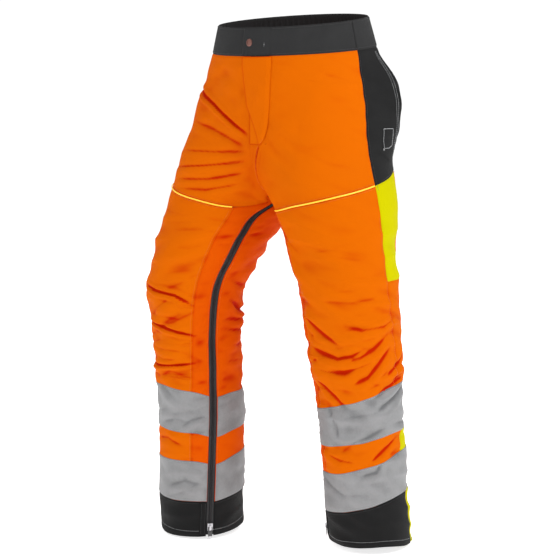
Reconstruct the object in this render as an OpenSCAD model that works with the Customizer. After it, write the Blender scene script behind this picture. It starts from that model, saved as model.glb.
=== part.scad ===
// Chainsaw chaps of the full, all-round type: high-visibility protective over-trousers that are
// pulled on over work trousers and closed with a zip down the inside of each leg.
// Frame: origin at the centre of the waist opening, +Z up, the wearer faces -Y, the wearer's left is +X.
// The cloth is shown standing as it hangs on a walking stance: right leg a little forward, left leg back.

/* [Waist and seat] */
// Width of the waist opening, side to side
waist_w = 330; // [270:1:420]
// Depth of the waist opening, front to back
waist_d = 250; // [200:1:320]
// Height of the waistband
band_h = 58; // [40:1:75]
// Width over the hips just above the crotch
hip_w = 416; // [340:1:500]
// Depth over the seat
seat_d = 268; // [220:1:340]
// Drop from the waist to the crotch
crotch_drop = 360; // [300:1:420]
// Extra height of the waist at the back for each mm of depth
back_rise = 0.13; // [0:0.01:0.3]
// Outward bulge of the hip pocket mouth
pocket_gape = 33; // [0:0.5:36]
// Forward push of the right thigh in the stride
thigh_push = 34; // [0:1:40]

/* [Legs] */
// Outside length, waist to hem
leg_len = 1056; // [900:1:1180]
// Width of one leg across the crotch line
thigh_w = 244; // [200:1:280]
// Width of one leg at the knee
knee_w = 192; // [160:1:230]
// Width of one leg at the hem
hem_w = 172; // [140:1:220]
// Height of the knee below the waist
knee_drop = 640; // [560:1:720]
// Stride: how far the right knee stands in front of the left
stride = 86; // [0:1:160]
// Distance of each hem centre from the middle
foot_out = 160; // [120:1:200]

/* [Cloth layers] */
// Thickness of the outer cloth
shell_t = 0.8; // [0.5:0.1:1.5]
// Thickness of the cut-protection pad
pad_t = 5.5; // [3:0.5:8]
// Thickness of the lining
lining_t = 0.7; // [0.4:0.1:1.2]
// Thickness of the waistband, all layers
belt_t = 3; // [2:0.1:5]
// Height of the upper reflective band
tape_h = 74; // [50:1:90]
// Diameter of the piping
piping_d = 3; // [2:0.1:5]

/* [Fastenings] */
// Width of the zip chain
chain_w = 5; // [4:0.1:8]
// Width of the zip tape
zip_w = 24; // [18:0.5:30]
// Open width between the cloth edges over the zip
zip_open = 16; // [14:0.5:20]
// Diameter of the waist snap
snap_d = 15; // [10:0.5:20]
// Length of the zip pulls
pull_len = 24; // [16:1:36]

/* [Hidden] */
$fn = 32;
eps = 0.0008;            // half of a seam gap, in turns round the leg
g1 = 0.5;                // half of a seam gap, mm
vc = -crotch_drop;
hc = 125;                // height over which the crotch opens out into the seat
hem = -leg_len;
knee = -knee_drop;
orange = "#F07800"; yellow = "#E8F200"; dark = "#333436"; silver = "#A9A9A9"; black = "#1C1C1C";
gold = "#FFC81E"; zinc = "#B8B8B8"; brass = "#B5794F"; inlay = "#D9D6C8"; mesh = "#3A3C40";

// ---- shape of the hanging garment -------------------------------------------------------------
// rows: height, centre x, centre y, half width, half depth, roll of the ring in x and in y
hs = seat_d / 2;
leg_left = [
  [hem, foot_out + 1, 59, hem_w / 2, hem_w / 2, -0.05, -0.05],
  [knee - 180, foot_out + 8, 17, knee_w / 2 - 12, knee_w / 2 - 14, 0.04, 0],
  [knee, foot_out + 12, stride * 0.8 - 82, knee_w / 2 - 4, knee_w / 2 - 7, 0.12, 0.05],
  [knee + 100, foot_out + 4, -22, knee_w / 2 + 3, knee_w / 2 - 1, 0.06, 0],
  [vc - 90, foot_out - 15, -22, thigh_w / 2 - 14, thigh_w / 2 - 18, 0, -0.02],
  [vc, thigh_w / 2, -14, thigh_w / 2, thigh_w / 2 + 2, 0, 0],
  [vc + hc, 92, 4, 112, hs, 0, 0],
  [-60, 88, 6, 92, hs - 4, 0, 0.1],
  [0, 84, 0, 80, waist_d / 2 - 1, 0, back_rise]];
leg_right = [
  [hem, -foot_out - 17, -88, hem_w / 2, hem_w / 2, 0, 0.08],
  [knee - 200, -foot_out - 13, -89, knee_w / 2 - 8, knee_w / 2 - 8, 0, 0.08],
  [knee, -foot_out - 18, -11 - stride, knee_w / 2 - 5, knee_w / 2 - 6, 0, 0.08],
  [knee + 100, -foot_out - 17, -8 - stride, knee_w / 2 + 8, knee_w / 2 + 5, 0.1, 0],
  [vc - 90, -foot_out + 8, -66, thigh_w / 2 - 3, thigh_w / 2 - 5, 0.1, -0.02],
  [vc, -thigh_w / 2, -14, thigh_w / 2, thigh_w / 2 + 2, 0, 0],
  [vc + hc, -92, 4, 112, hs, 0, 0],
  [-60, -88, 6, 92, hs - 4, 0, 0.1],
  [0, -84, 0, 80, waist_d / 2 - 1, 0, back_rise]];
waist = [[vc, hip_w / 2 + 7, hs - 2, 8], [vc + hc, hip_w / 2, hs + 6, 8],
  [-60, waist_w / 2 + 13, hs - 1, 3], [0, waist_w / 2, waist_d / 2, 0]];

function slope(tab, j) = let(n = len(tab)) j <= 1 ? (tab[1] - tab[0]) / (tab[1][0] - tab[0][0])
  : j == n - 1 ? (tab[n - 1] - tab[n - 2]) / (tab[n - 1][0] - tab[n - 2][0])
  : (tab[j + 1] - tab[j - 1]) / (tab[j + 1][0] - tab[j - 1][0]);
function span(tab, v, i = 0) = i >= len(tab) - 2 || v < tab[i + 1][0] ? i : span(tab, v, i + 1);
// smooth curve through the rows of a table, read at the height v
function smooth(tab, v) = let(i = span(tab, v), h = tab[i + 1][0] - tab[i][0], s = (v - tab[i][0]) / h)
  (2 * s ^ 3 - 3 * s ^ 2 + 1) * tab[i] + (s ^ 3 - 2 * s ^ 2 + s) * h * slope(tab, i)
  + (3 * s ^ 2 - 2 * s ^ 3) * tab[i + 1] + (s ^ 3 - s ^ 2) * h * slope(tab, i + 1);
// a point of the middle surface: side 1 left, -1 right; t in turns from the inside of the leg by
// way of the front; v the height below the waist
function raw(side, t, v) =
  let(k = smooth(side > 0 ? leg_left : leg_right, v),
      ax = v > vc && cos(360 * t) > 0 ? abs(k[1]) : k[3],   // above the crotch the halves meet in the middle
      ring = [k[1] - side * ax * cos(360 * t), k[2] - k[4] * sin(360 * t)],
      q = min(1, max(0, v - vc) / hc), g = sqrt(max(0, 1 - (1 - q) ^ 2)),
      slab = t < 0.25 ? [k[1] * 4 * t, k[2] - k[4]] : t > 0.75 ? [k[1] * 4 * (1 - t), k[2] + k[4]] : ring,
      r = min(1, max(0, v - vc) / crotch_drop), h = r * r * (3 - 2 * r),
      w = smooth(waist, max(v, vc)),
      oval = [side * w[1] * sin(180 * t), w[3] - w[2] * cos(180 * t)],
      xy = v <= vc ? ring : (ring * (1 - g) + slab * g) * (1 - h) + oval * h,
      // the pocket mouth stands open, its front edge further out than its back edge
      b = pocket_gape * (t < mouth(v) ? 1 : 0.65) * exp(-((t - 0.62) / 0.07) ^ 2 - ((v + 158) / 75) ^ 2),
      f = side > 0 ? 0 : thigh_push * exp(-((t - 0.35) / 0.15) ^ 2 - ((v + 310) / (v > -310 ? 160 : 110)) ^ 2))
  [xy[0] + side * b - 0.766 * f, xy[1] + b * 0.4 - 0.643 * f,
   v + k[5] * (xy[0] - k[1]) + k[6] * (xy[1] - k[2])];
function unit(a) = a / norm(a);
function out(side, t, v) = let(e = 0.002, f = min(v, -2), p = max(0.003, t))
  unit(side * cross(raw(side, t + e, f) - raw(side, t - e, f), raw(side, t, f + 2) - raw(side, t, f - 2)));
// the out direction near the two centre seams is read a little to the side of them
function dir(side, t, v) = v > vc - 1
  ? let(n = out(side, min(0.992, max(0.008, t)), max(v, vc + 1)), z = min(t, 1 - t) < 0.004 ? 0 : n[0])
    unit([z, n[1], n[2]]) : out(side, t, v);
function S(side, t, v, d = 0) = raw(side, t, v) + (d == 0 ? [0, 0, 0] : d * dir(side, t, v));

// ---- solids made of cloth ----------------------------------------------------------------------
function lerp(a, b, u) = a * (1 - u) + b * u;
function at(tl, tr, vb, vt, u, w, t, n = 4) = let(v = lerp(vb(t), vt(t), w), s = lerp(tl(v), tr(v), u))
  n == 0 ? [s, v] : at(tl, tr, vb, vt, u, w, s, n - 1);
function steps(n) = [for (i = [0:n]) i / n];
module slab(rows, back, flip) {        // rows and back: two grids of points, the same size
  ni = len(rows); nj = len(rows[0]); m = ni * nj;
  pts = concat([for (r = rows) each r], [for (r = back) each r]);
  id = function (i, j) i * nj + j;
  quad = function (a, b, c, d) [[a, b, c], [a, c, d]];
  f = concat(
    [for (i = [0:ni - 2], j = [0:nj - 2]) each quad(id(i, j), id(i + 1, j), id(i + 1, j + 1), id(i, j + 1))],
    [for (i = [0:ni - 2], j = [0:nj - 2])
      each quad(m + id(i, j), m + id(i, j + 1), m + id(i + 1, j + 1), m + id(i + 1, j))],
    [for (j = [0:nj - 2]) each quad(id(0, j), id(0, j + 1), m + id(0, j + 1), m + id(0, j))],
    [for (j = [0:nj - 2])
      each quad(id(ni - 1, j + 1), id(ni - 1, j), m + id(ni - 1, j), m + id(ni - 1, j + 1))],
    [for (i = [0:ni - 2]) each quad(id(i + 1, 0), id(i, 0), m + id(i, 0), m + id(i + 1, 0))],
    [for (i = [0:ni - 2])
      each quad(id(i, nj - 1), id(i + 1, nj - 1), m + id(i + 1, nj - 1), m + id(i, nj - 1))]);
  polyhedron(pts, flip ? [for (a = f) [a[2], a[1], a[0]]] : f, convexity = 8);
}
// a panel between the seam lines tl(v), tr(v) and vb(t), vt(t), lying d above the middle surface
module panel(side, tl, tr, vb, vt, d, th, nt, nv, us = undef, ws = undef) {
  ul = is_undef(us) ? steps(nt) : us; wl = is_undef(ws) ? steps(nv) : ws;
  tv = [for (w = wl) [for (u = ul) at(tl, tr, vb, vt, u, w, lerp(tl(vc), tr(vc), u))]];
  slab([for (r = tv) [for (p = r) S(side, p[0], p[1], d + th)]],
       [for (r = tv) [for (p = r) S(side, p[0], p[1], d)]], side < 0);
}
module tube(loops) {                   // closed rings of points, each ring the same count
  n = len(loops[0]); m = len(loops);
  pts = concat([for (l = loops) each l], [cent(loops[0]), cent(loops[m - 1])]);
  polyhedron(pts, concat(
    [for (i = [0:m - 2], j = [0:n - 1]) let(k = (j + 1) % n)
      each [[i * n + j, i * n + k, (i + 1) * n + k], [i * n + j, (i + 1) * n + k, (i + 1) * n + j]]],
    [for (j = [0:n - 1]) [n * m, (j + 1) % n, j]],
    [for (j = [0:n - 1]) [n * m + 1, (m - 1) * n + j, (m - 1) * n + (j + 1) % n]]), convexity = 8);
}
function cent(l) = [for (k = [0:2]) sum([for (p = l) p[k]]) / len(l)];
function sum(a, i = 0) = i >= len(a) ? 0 : a[i] + sum(a, i + 1);
function flat(c) = function (x) c;

// ---- seam lines ------------------------------------------------------------------------------
zip_rows = [[hem, 0.101], [hem + 216, 0.091], [knee - 60, 0.079], [knee + 40, 0.074], [knee + 140, 0.067],
  [vc - 80, 0.069], [vc - 30, 0.072], [vc + 15, 0.004]];
function zipt(v) = smooth(zip_rows, min(v, vc + 15))[1];
seam_rows = [[hem, 0.170], [knee - 250, 0.172], [knee - 20, 0.152], [knee + 108, 0.138], [vc - 62, 0.142],
  [vc - 10, 0.147]];
function seamt(v) = smooth(seam_rows, min(v, vc - 10))[1];
function zgap(v) = (zip_open / 2) / (2 * PI * smooth(leg_left, v)[3]);
pipe_rows = [[0, vc + 18], [0.05, vc + 2], [0.147, vc - 12], [0.25, vc + 2], [0.37, vc + 22], [0.475, vc + 40]];
function pipev(t) = smooth(pipe_rows, min(max(t, 0), 0.475))[1];
join_up = -508; join_low = -780;         // where the yellow, orange and yellow lengths of the side meet
side_rows = [[hem, 0.572], [hem + 104, 0.543], [join_low - 10, 0.528], [join_up, 0.497], [vc + 38, 0.475],
  [0, 0.452]];
function sidet(v) = smooth(side_rows, v)[1];
seat_rows = [[0.475, vc + 40], [0.61, vc + 64], [0.75, vc + 15], [0.88, vc - 1], [0.95, vc + 4],
  [1, vc + 20]];
function seatv(t) = smooth(seat_rows, max(t, 0.475))[1];
mouth = function (v) 0.60 + 0.042 * sin(180 * min(1, max(0, (-58 - v) / 250)));
fly_bot = -242;
function jcurve(v) = 0.082 * sqrt(1 - (1 - min(1, max(0, (v - fly_bot) / 60))) ^ 2);
// the reflective bands hang a little lower beside the zip and, on the left leg, towards the inside
function dip(t) = let(d = min(abs(t - 0.08), abs(t - 1.08)) / 0.05) 10 * exp(-d * d);
function sway(t) = cos(360 * (t - 0.12));
function up_top(s, t) = s > 0 ? -740 - 22 * sway(t) : -752 + 14 * sin(360 * (t - 0.06)) - dip(t);
function up_bot(s, t) = s > 0 ? -753 - tape_h - 19 * sway(t)
  : -762 - tape_h + 4 * sin(360 * (t - 0.06)) - dip(t);
function lo_top(s, t) = s > 0 ? -880 - 27 * sway(t) : -893 - dip(t);
function cuff_top(s, t) = s > 0 ? -964 - 29 * sway(t) : -979 - 0.4 * dip(t);
bh = band_h;

module front_upper(s) color(orange) if (s > 0)
  panel(s, function (v) jcurve(v) + eps, function (v) sidet(v) - eps, function (t) pipev(t) + 2, flat(-bh - g1),
    0, shell_t, 12, 0, ws = [0, 0.12, 0.24, 0.34, 0.375, 0.385, 0.4, 0.43, 0.48, 0.56, 0.7, 0.85, 1]);
  else panel(s, flat(eps), function (v) sidet(v) - eps, function (t) pipev(t) + 2, flat(-bh - g1),
    0, shell_t, 12, 8);
module hip_panel(s) color(dark) panel(s, function (v) sidet(v) + eps, function (v) mouth(v) - eps,
  function (t) seatv(t) + g1, flat(-bh - g1), 0, shell_t, 5, 8);
module seat_panel(s) color(dark) panel(s, function (v) mouth(v) + eps, flat(1 - eps),
  function (t) seatv(t) + g1, flat(-bh - g1), 0, shell_t, 11, 8);
module thigh_piping(s) color(gold) { r = piping_d / 2;
  tube([for (t = [0.15:0.02:0.471]) let(p = S(s, t, pipev(t), r + 0.6),
    a = unit(S(s, t + 0.01, pipev(t + 0.01)) - S(s, t - 0.01, pipev(t - 0.01))), n = dir(s, t, pipev(t)),
    b = cross(a, n)) [for (k = [0:7]) p + r * (cos(45 * k) * n + sin(45 * k) * b)]]); }
module front_leg(s) color(orange) panel(s, function (v) seamt(v) + eps, function (v) sidet(v) - eps,
  function (t) cuff_top(s, t) + g1, function (t) pipev(t) - 2, 0, shell_t, 9, 14);
module inner_front(s) color(orange) panel(s, function (v) zipt(v) + zgap(v), function (v) seamt(v) - eps,
  function (t) cuff_top(s, t) + g1, function (t) min(vc - 6.5, pipev(t) - 1.5), 0, shell_t, 3, 26);
module inner_back(s) color(orange) panel(s, flat(-0.12 + eps), function (v) zipt(v) - zgap(v),
  function (t) cuff_top(s, t) + g1, function (t) vc - 6.5 + 40 * min(0, t), 0, shell_t, 5, 20);
module back_leg(s) color(orange) panel(s, flat(0.60 + eps), flat(0.88 - eps),
  function (t) cuff_top(s, t) + g1,
  function (t) t > 0.8 ? lerp(seatv(t), vc - 11.5, (t - 0.8) / 0.08) - 1 : seatv(t) - 1, 0, shell_t, 7, 14);
module side_upper(s) color(yellow) panel(s, function (v) sidet(v) + eps, flat(0.60 - eps), flat(join_up + g1),
  function (t) seatv(t) - g1, 0, shell_t, 3, 5);
module side_mid(s) color(orange) panel(s, function (v) sidet(v) + eps, flat(0.60 - eps), flat(join_low + g1),
  flat(join_up - g1), 0, shell_t, 3, 6);
module side_lower(s) color(yellow) panel(s, function (v) sidet(v) + eps, flat(0.60 - eps), flat(hem + 2),
  flat(join_low - g1), 0, shell_t, 2, 6);
// the reflective bands are sewn on in one length from one zip edge round to the other
module band(s, bot, top) color(silver) panel(s, function (v) zipt(v) + zgap(v) + 0.004,
  function (v) 1 + zipt(v) - zgap(v) - 0.004, bot, top, shell_t + 1.1, 0.7, 24, 2);
module band_upper(s) band(s, function (t) up_bot(s, t), function (t) up_top(s, t));
module band_lower(s) band(s, function (t) cuff_top(s, t) + 1, function (t) lo_top(s, t));
module cuff_front(s) color(dark) panel(s, function (v) zipt(v) + zgap(v), function (v) sidet(v) - eps,
  flat(hem), function (t) cuff_top(s, t) - g1, 0, shell_t + 0.4, 10, 2);
module cuff_back(s) color(dark) panel(s, flat(0.60 + eps), function (v) 1 + zipt(v) - zgap(v),
  flat(hem), function (t) cuff_top(s, t) - g1, 0, shell_t + 0.4, 12, 2);
// cut-protection inlay: loose fibre layers inside the whole leg, stopping short of the zip
module cut_pad(s) color(inlay) panel(s, function (v) zipt(v) + 0.035, function (v) 0.97 + zipt(v),
  flat(hem + 60), flat(vc - 14), -3 - pad_t, pad_t, 20, 13);
module lining(s) color(mesh) panel(s, function (v) zipt(v) + 0.02, function (v) 0.985 + zipt(v),
  flat(hem + 20), flat(vc - 12), -5.2 - pad_t - lining_t, lining_t, 20, 13);

// ---- leg zip -------------------------------------------------------------------------------------
// the lower stretch of the chain is straight; the slider runs along it
function zA(s) = S(s, zipt(hem), hem); function zB(s) = S(s, zipt(hem + 216), hem + 216);
function zu(s) = unit(zB(s) - zA(s));
function zn(s) = let(n = dir(s, zipt(hem), hem) + dir(s, zipt(hem + 216), hem + 216), u = zu(s))
  unit(n - (n * u) * u);
function zs(s) = cross(zn(s), zu(s));
module zip_frame(s, up) { a = zA(s) + up * zu(s); n = zn(s); u = zu(s); b = zs(s);
  multmatrix([[b[0], n[0], u[0], a[0]], [b[1], n[1], u[1], a[1]], [b[2], n[2], u[2], a[2]]]) children(); }
// section of the tape or chain: half width w, from d0 to d1 above the middle surface
function zsec(s, p, n, u, w, d0, d1) = let(b = unit(cross(u, n)), c = chain_w / 2 - 0.01)
  [for (q = [w, c, -c, -w]) p + q * b + d0 * n, for (q = [-w, -c, c, w]) p + q * b + d1 * n];
function zpath(s, top, from) = concat([[zA(s) + from * zu(s), zn(s), zu(s)], [zB(s), zn(s), zu(s)]],
  [for (i = [1:22]) let(v = lerp(hem + 216, top, i / 22), p = S(s, zipt(v), v))
    [p, dir(s, zipt(v), v), unit(S(s, zipt(v + 4), v + 4) - S(s, zipt(v - 4), v - 4))]]);
module zip_run(s, w, d0, d1, top, from)
  tube([for (q = zpath(s, top, from)) zsec(s, q[0], q[1], q[2], w, d0, d1)]);
module zip_tape(s) color(black) zip_run(s, zip_w / 2, -3.6, -2.8, vc - 24, 2);
module zip_coil(s) color(black) zip_run(s, chain_w / 2, -2.5, -1.0, vc - 26, 12.2);
module zip_slider(s) color(zinc) zip_frame(s, 12) {
  difference() {
    translate([-5.5, -2.3, 0]) cube([11, 4.4, 15]);
    translate([-chain_w / 2 - 0.5, -3, -1]) cube([chain_w + 1, 2.8, 17]);
  }
  // bridge that carries the pull
  difference() {
    translate([-2.2, 2.05, 2]) cube([4.4, 3.9, 10]);
    translate([-3, 2.1, 4]) cube([6, 2.5, 6]);
  }
}
// the pull turns on the bar at its top; it is drawn hanging plumb
module zip_pull(s) color(black) zip_frame(s, 19) translate([0, 3.35, 0]) rotate([asin(-zn(s)[2]), 0, 0])
{
    difference() {
      translate([-4.5, -0.6, -pull_len]) cube([9, 1.2, pull_len]);
      translate([-2.7, -2, -8]) cube([5.4, 4, 9]);
    }
    translate([-4.5, 0, 0]) rotate([0, 90, 0]) cylinder(d = 1.4, h = 9);
  }
module zip_stops() color(zinc) for (s = [-1, 1]) {
  zip_frame(s, 4) translate([-4, -2.5, 0]) cube([8, 3.4, 7.8]); }
module zip_guards() color(dark) for (s = [-1, 1])
  panel(s, function (v) zipt(v) + zgap(v) + 0.002, function (v) zipt(v) + zgap(v) + 0.024, flat(hem + 3),
    function (t) cuff_top(s, t) - 2, shell_t + 1.3, 1, 2, 2);
module knee_tucks() color(orange) for (s = [-1, 1], k = [-552, -622, -692])
  let(lean = k > -600 ? 112 : 0)
  panel(s, function (v) seamt(v) + 0.006, flat(0.29), function (t) k - 28 + lean * (t - 0.14),
    function (t) k - 22 + lean * (t - 0.14), shell_t + 0.6, 1.4, 5, 1);

// ---- pockets and waistband ---------------------------------------------------------------------
module pocket_bags() color(dark) for (s = [-1, 1])
  panel(s, flat(0.40), function (v) mouth(v) - 0.012, function (t) -285 + 60 * (0.6 - t), flat(-76),
    -3.4, 0.6, 6, 6);
module pocket_patches() color(silver) for (s = [-1, 1])
  panel(s, flat(0.535), flat(0.60), flat(-252), function (t) -214, shell_t + 2.3, 0.6, 4, 3);
module waistband_front_left() color(dark) panel(1, flat(0.087), flat(0.452), flat(-bh), flat(0),
  shell_t - belt_t, belt_t, 9, 1);
// the right front runs on under the closing tab
module waistband_front_right() color(dark)
  both(-bh, 0, flat(0.452), flat(0.05), shell_t - belt_t, belt_t, 10, 3, 1);
// elasticated back, gathered into shallow ribs
module waistband_back() color(dark) { n = 36;
  cell = function (i) let(q = i / n) q <= 0.5 ? [1, lerp(0.4535, 1, 2 * q)] : [-1, lerp(1, 0.4535, 2 * q - 1)];
  grid = function (d) [for (v = [-bh, 0]) [for (i = [0:n]) let(c = cell(i), k = i % 2 == 0 ? 0 : 0.8)
    S(c[0], c[1], v, d + (d > 0 ? k : k * 0.5))]];
  slab(grid(shell_t), grid(shell_t - belt_t), false); }
module belt_loops() color(dark) for (s = [-1, 1]) { t = 0.79;
  p = S(s, t, -29, shell_t + 1.2); u = unit(S(s, t, -4) - S(s, t, -54)); n = dir(s, t, -29);
  m = unit(n - (n * u) * u); b = cross(m, u);
  multmatrix([[b[0], m[0], u[0], p[0]], [b[1], m[1], u[1], p[1]], [b[2], m[2], u[2], p[2]]]) difference() {
    translate([-6, 0, -27]) cube([12, 4.4, 54]);
    translate([-7, -1, -21]) cube([14, 4, 42]);
  } }

// ---- fly ---------------------------------------------------------------------------------------
function fa() = S(1, 0, -66); function fb() = S(1, 0, fly_bot + 14);
fu = unit(fa() - fb());
fnn = let(n = [0, -1, 0]) unit(n - (n * fu) * fu);
fs = cross(fnn, fu);
module fly_frame(up) { a = fb() + up * fu;
  multmatrix([[fs[0], fnn[0], fu[0], a[0]], [fs[1], fnn[1], fu[1], a[1]], [fs[2], fnn[2], fu[2], a[2]]])
    children(); }
fly_run = norm(fa() - fb());
sx = sign(fs[0]);                        // sideways direction of the fly frame
zx = 14 * sx;                            // zip stands to the wearer's left of the middle
module both(vb, vt, tr, tl, d, th, nr, nl, nv) {   // strip that crosses the middle of the front
  vl = [for (i = [0:nv]) lerp(vb, vt, i / nv)];
  tt = function (v) concat([for (j = [0:nr]) [-1, tr(v) * (1 - j / nr)]],
    [for (j = [1:nl]) [1, tl(v) * j / nl]]);
  slab([for (v = vl) [for (c = tt(v)) S(c[0], c[1], v, d + th)]],
       [for (v = vl) [for (c = tt(v)) S(c[0], c[1], v, d)]], false); }
module fly_flap() color(orange) both(fly_bot + 6, -bh - 1, function (v) 0.022 * min(1, (v - fly_bot) / 60),
  function (v) jcurve(v) - 0.004, 2.8, 1, 2, 6, 9);
module fly_tab() color(dark) both(-bh + 1, 0, flat(0.022), flat(0.080), 2.8, 2, 2, 6, 1);
module fly_shield() color(orange) both(fly_bot + 12, -bh - 2, flat(0.028),
  function (v) 0.07 * min(1, 0.3 + (v - fly_bot) / 100), -9, 1, 2, 5, 8);
module fly_zip() color(black) fly_frame(0) {
  translate([zx - 12, -6.2, 2]) cube([24, 0.7, fly_run - 4]);
  translate([zx - 2.25, -5.55, 4]) cube([4.5, 1.7, fly_run - 8]);
}
module fly_slider() color(zinc) fly_frame(fly_run - 22) translate([zx, 0, 0]) {
  difference() {
    translate([-4.5, -5.3, 0]) cube([9, 3.4, 12]);
    translate([-2.75, -6, -1]) cube([5.5, 2.5, 14]);
  }
  difference() {
    translate([-1.5, -1.95, 3]) cube([3, 3.25, 6]);
    translate([-2, -1.9, 4.2]) cube([4, 2.4, 3.6]);
  }
}
module fly_pull() color(zinc) fly_frame(fly_run - 16) translate([zx, -0.7, 0]) {
  difference() {
    translate([-3.5, -0.5, -20]) cube([7, 1, 20]);
    translate([-1.9, -2, -6.5]) cube([3.8, 4, 7]);
    translate([0, -2, -16]) rotate([-90, 0, 0]) cylinder(d = 3.6, h = 4);
  }
  translate([-3.5, 0, 0]) rotate([0, 90, 0]) cylinder(d = 1.3, h = 7);
}
// the snap stands in the middle of the waistband
snap_a = S(1, 0, -bh + 1);
snap_b = S(1, 0, 0);
snap_p = lerp(snap_a, snap_b, 0.46);
snap_n = let(n = cross([1, 0, 0], snap_b - snap_a)) unit(n[1] < 0 ? n : -n);
module snap_frame() { z = snap_n; x = [1, 0, 0]; y = cross(z, x);
  multmatrix([[x[0], y[0], z[0], snap_p[0]], [x[1], y[1], z[1], snap_p[1]], [x[2], y[2], z[2], snap_p[2]]])
    children(); }
module snap_cap() color(brass) snap_frame() {
  translate([0, 0, 5]) difference() {
    union() {
      cylinder(d = snap_d, h = 0.8);
      translate([0, 0, 0.79]) cylinder(d1 = snap_d, d2 = snap_d - 3, h = 0.9);
    }
    translate([0, 0, 1.0]) cylinder(d = snap_d - 6.5, h = 2);
  }
  translate([0, 0, 2.2]) cylinder(d = 11, h = 0.35);      // socket, behind the tab
}
module snap_stud() color(brass) snap_frame() {
  translate([0, 0, 0.95]) cylinder(d = 11, h = 0.5);
  translate([0, 0, 1.44]) cylinder(d = 6, h = 0.6);
}

front_upper(1);  // left_front_upper
front_upper(-1);  // right_front_upper
hip_panel(1);  // left_hip_panel
hip_panel(-1);  // right_hip_panel
seat_panel(1);  // left_seat_panel
seat_panel(-1);  // right_seat_panel
thigh_piping(1);  // left_thigh_piping
thigh_piping(-1);  // right_thigh_piping
front_leg(1);  // left_front_leg
front_leg(-1);  // right_front_leg
inner_front(1);  // left_inner_front
inner_front(-1);  // right_inner_front
inner_back(1);  // left_inner_back
inner_back(-1);  // right_inner_back
back_leg(1);  // left_back_leg
back_leg(-1);  // right_back_leg
side_upper(1);  // left_side_upper
side_upper(-1);  // right_side_upper
side_mid(1);  // left_side_mid
side_mid(-1);  // right_side_mid
side_lower(1);  // left_side_lower
side_lower(-1);  // right_side_lower
band_upper(1);  // left_band_upper
band_upper(-1);  // right_band_upper
band_lower(1);  // left_band_lower
band_lower(-1);  // right_band_lower
cuff_front(1);  // left_cuff_front
cuff_front(-1);  // right_cuff_front
cuff_back(1);  // left_cuff_back
cuff_back(-1);  // right_cuff_back
cut_pad(1);  // left_cut_pad
cut_pad(-1);  // right_cut_pad
lining(1);  // left_lining
lining(-1);  // right_lining
zip_tape(1);  // left_zip_tape
zip_tape(-1);  // right_zip_tape
zip_coil(1);  // left_zip_coil
zip_coil(-1);  // right_zip_coil
zip_slider(1);  // left_zip_slider
zip_slider(-1);  // right_zip_slider
zip_pull(1);  // left_zip_pull
zip_pull(-1);  // right_zip_pull
zip_stops();
zip_guards();
knee_tucks();
pocket_bags();
pocket_patches();
waistband_front_left();
waistband_front_right();
waistband_back();
belt_loops();
fly_flap();
fly_tab();
fly_shield();
fly_zip();
fly_slider();
fly_pull();
snap_cap();
snap_stud();
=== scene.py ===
import math

import bpy
import numpy as np
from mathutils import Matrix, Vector


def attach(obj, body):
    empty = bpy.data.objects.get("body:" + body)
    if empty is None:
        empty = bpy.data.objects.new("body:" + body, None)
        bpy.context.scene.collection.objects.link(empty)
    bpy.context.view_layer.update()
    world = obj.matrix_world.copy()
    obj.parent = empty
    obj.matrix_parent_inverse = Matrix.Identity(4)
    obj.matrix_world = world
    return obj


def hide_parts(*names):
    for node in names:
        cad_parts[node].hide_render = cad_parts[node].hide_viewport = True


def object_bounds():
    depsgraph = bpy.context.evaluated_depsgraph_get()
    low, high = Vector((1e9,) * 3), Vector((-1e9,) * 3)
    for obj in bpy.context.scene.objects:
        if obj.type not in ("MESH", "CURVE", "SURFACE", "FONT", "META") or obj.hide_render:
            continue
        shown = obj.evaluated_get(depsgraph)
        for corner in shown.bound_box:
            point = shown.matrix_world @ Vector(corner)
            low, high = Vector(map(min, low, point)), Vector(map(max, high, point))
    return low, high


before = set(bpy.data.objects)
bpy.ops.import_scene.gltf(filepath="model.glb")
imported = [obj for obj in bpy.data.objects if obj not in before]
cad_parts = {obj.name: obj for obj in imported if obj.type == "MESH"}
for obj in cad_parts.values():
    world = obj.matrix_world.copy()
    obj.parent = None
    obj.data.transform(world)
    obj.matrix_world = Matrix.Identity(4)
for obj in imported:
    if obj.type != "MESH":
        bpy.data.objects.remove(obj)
cad_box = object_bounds()

# ---- Camera ---------------------------------------------------------------------------------
# A long lens at hip height, off the wearer's front left, far enough back to see the garment flat.
camera_azimuth, camera_height = math.radians(40), math.radians(8)
camera_distance = 3.2
look_at = Vector((-0.018, -0.018, -0.527))
back_off = Vector((math.sin(camera_azimuth) * math.cos(camera_height),
                   -math.cos(camera_azimuth) * math.cos(camera_height), math.sin(camera_height)))
lens = bpy.data.cameras.new("camera")
lens.lens = 100
lens.sensor_width = 36
camera = bpy.data.objects.new("camera", lens)
camera.location = look_at + back_off * camera_distance
camera.rotation_euler = (-back_off).to_track_quat("-Z", "Y").to_euler()
bpy.context.scene.collection.objects.link(camera)
bpy.context.scene.camera = camera
bpy.context.scene.view_settings.view_transform = "Standard"

# ---- The hanging cloth ----------------------------------------------------------------------
# The whole garment before it is cut into panels: two legs that join in the crotch seam and run
# up into the seat. t goes round a leg in turns from its inside by way of the front, v is the
# height below the waist in mm, side is +1 on the wearer's left and -1 on the right.
WAIST_W, WAIST_D, HIP_W, SEAT_D = 330, 250, 416, 268
CROTCH, LENGTH, KNEE, THIGH_W, KNEE_W, HEM_W = -360, -1056, -640, 244, 192, 172
RISE, STRIDE, FOOT_OUT, CROTCH_OPEN, POCKET_GAPE, THIGH_PUSH = 0.13, 86, 160, 125, 33, 34
half_seat, half_thigh, half_knee, half_hem = SEAT_D / 2, THIGH_W / 2, KNEE_W / 2, HEM_W / 2
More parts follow.
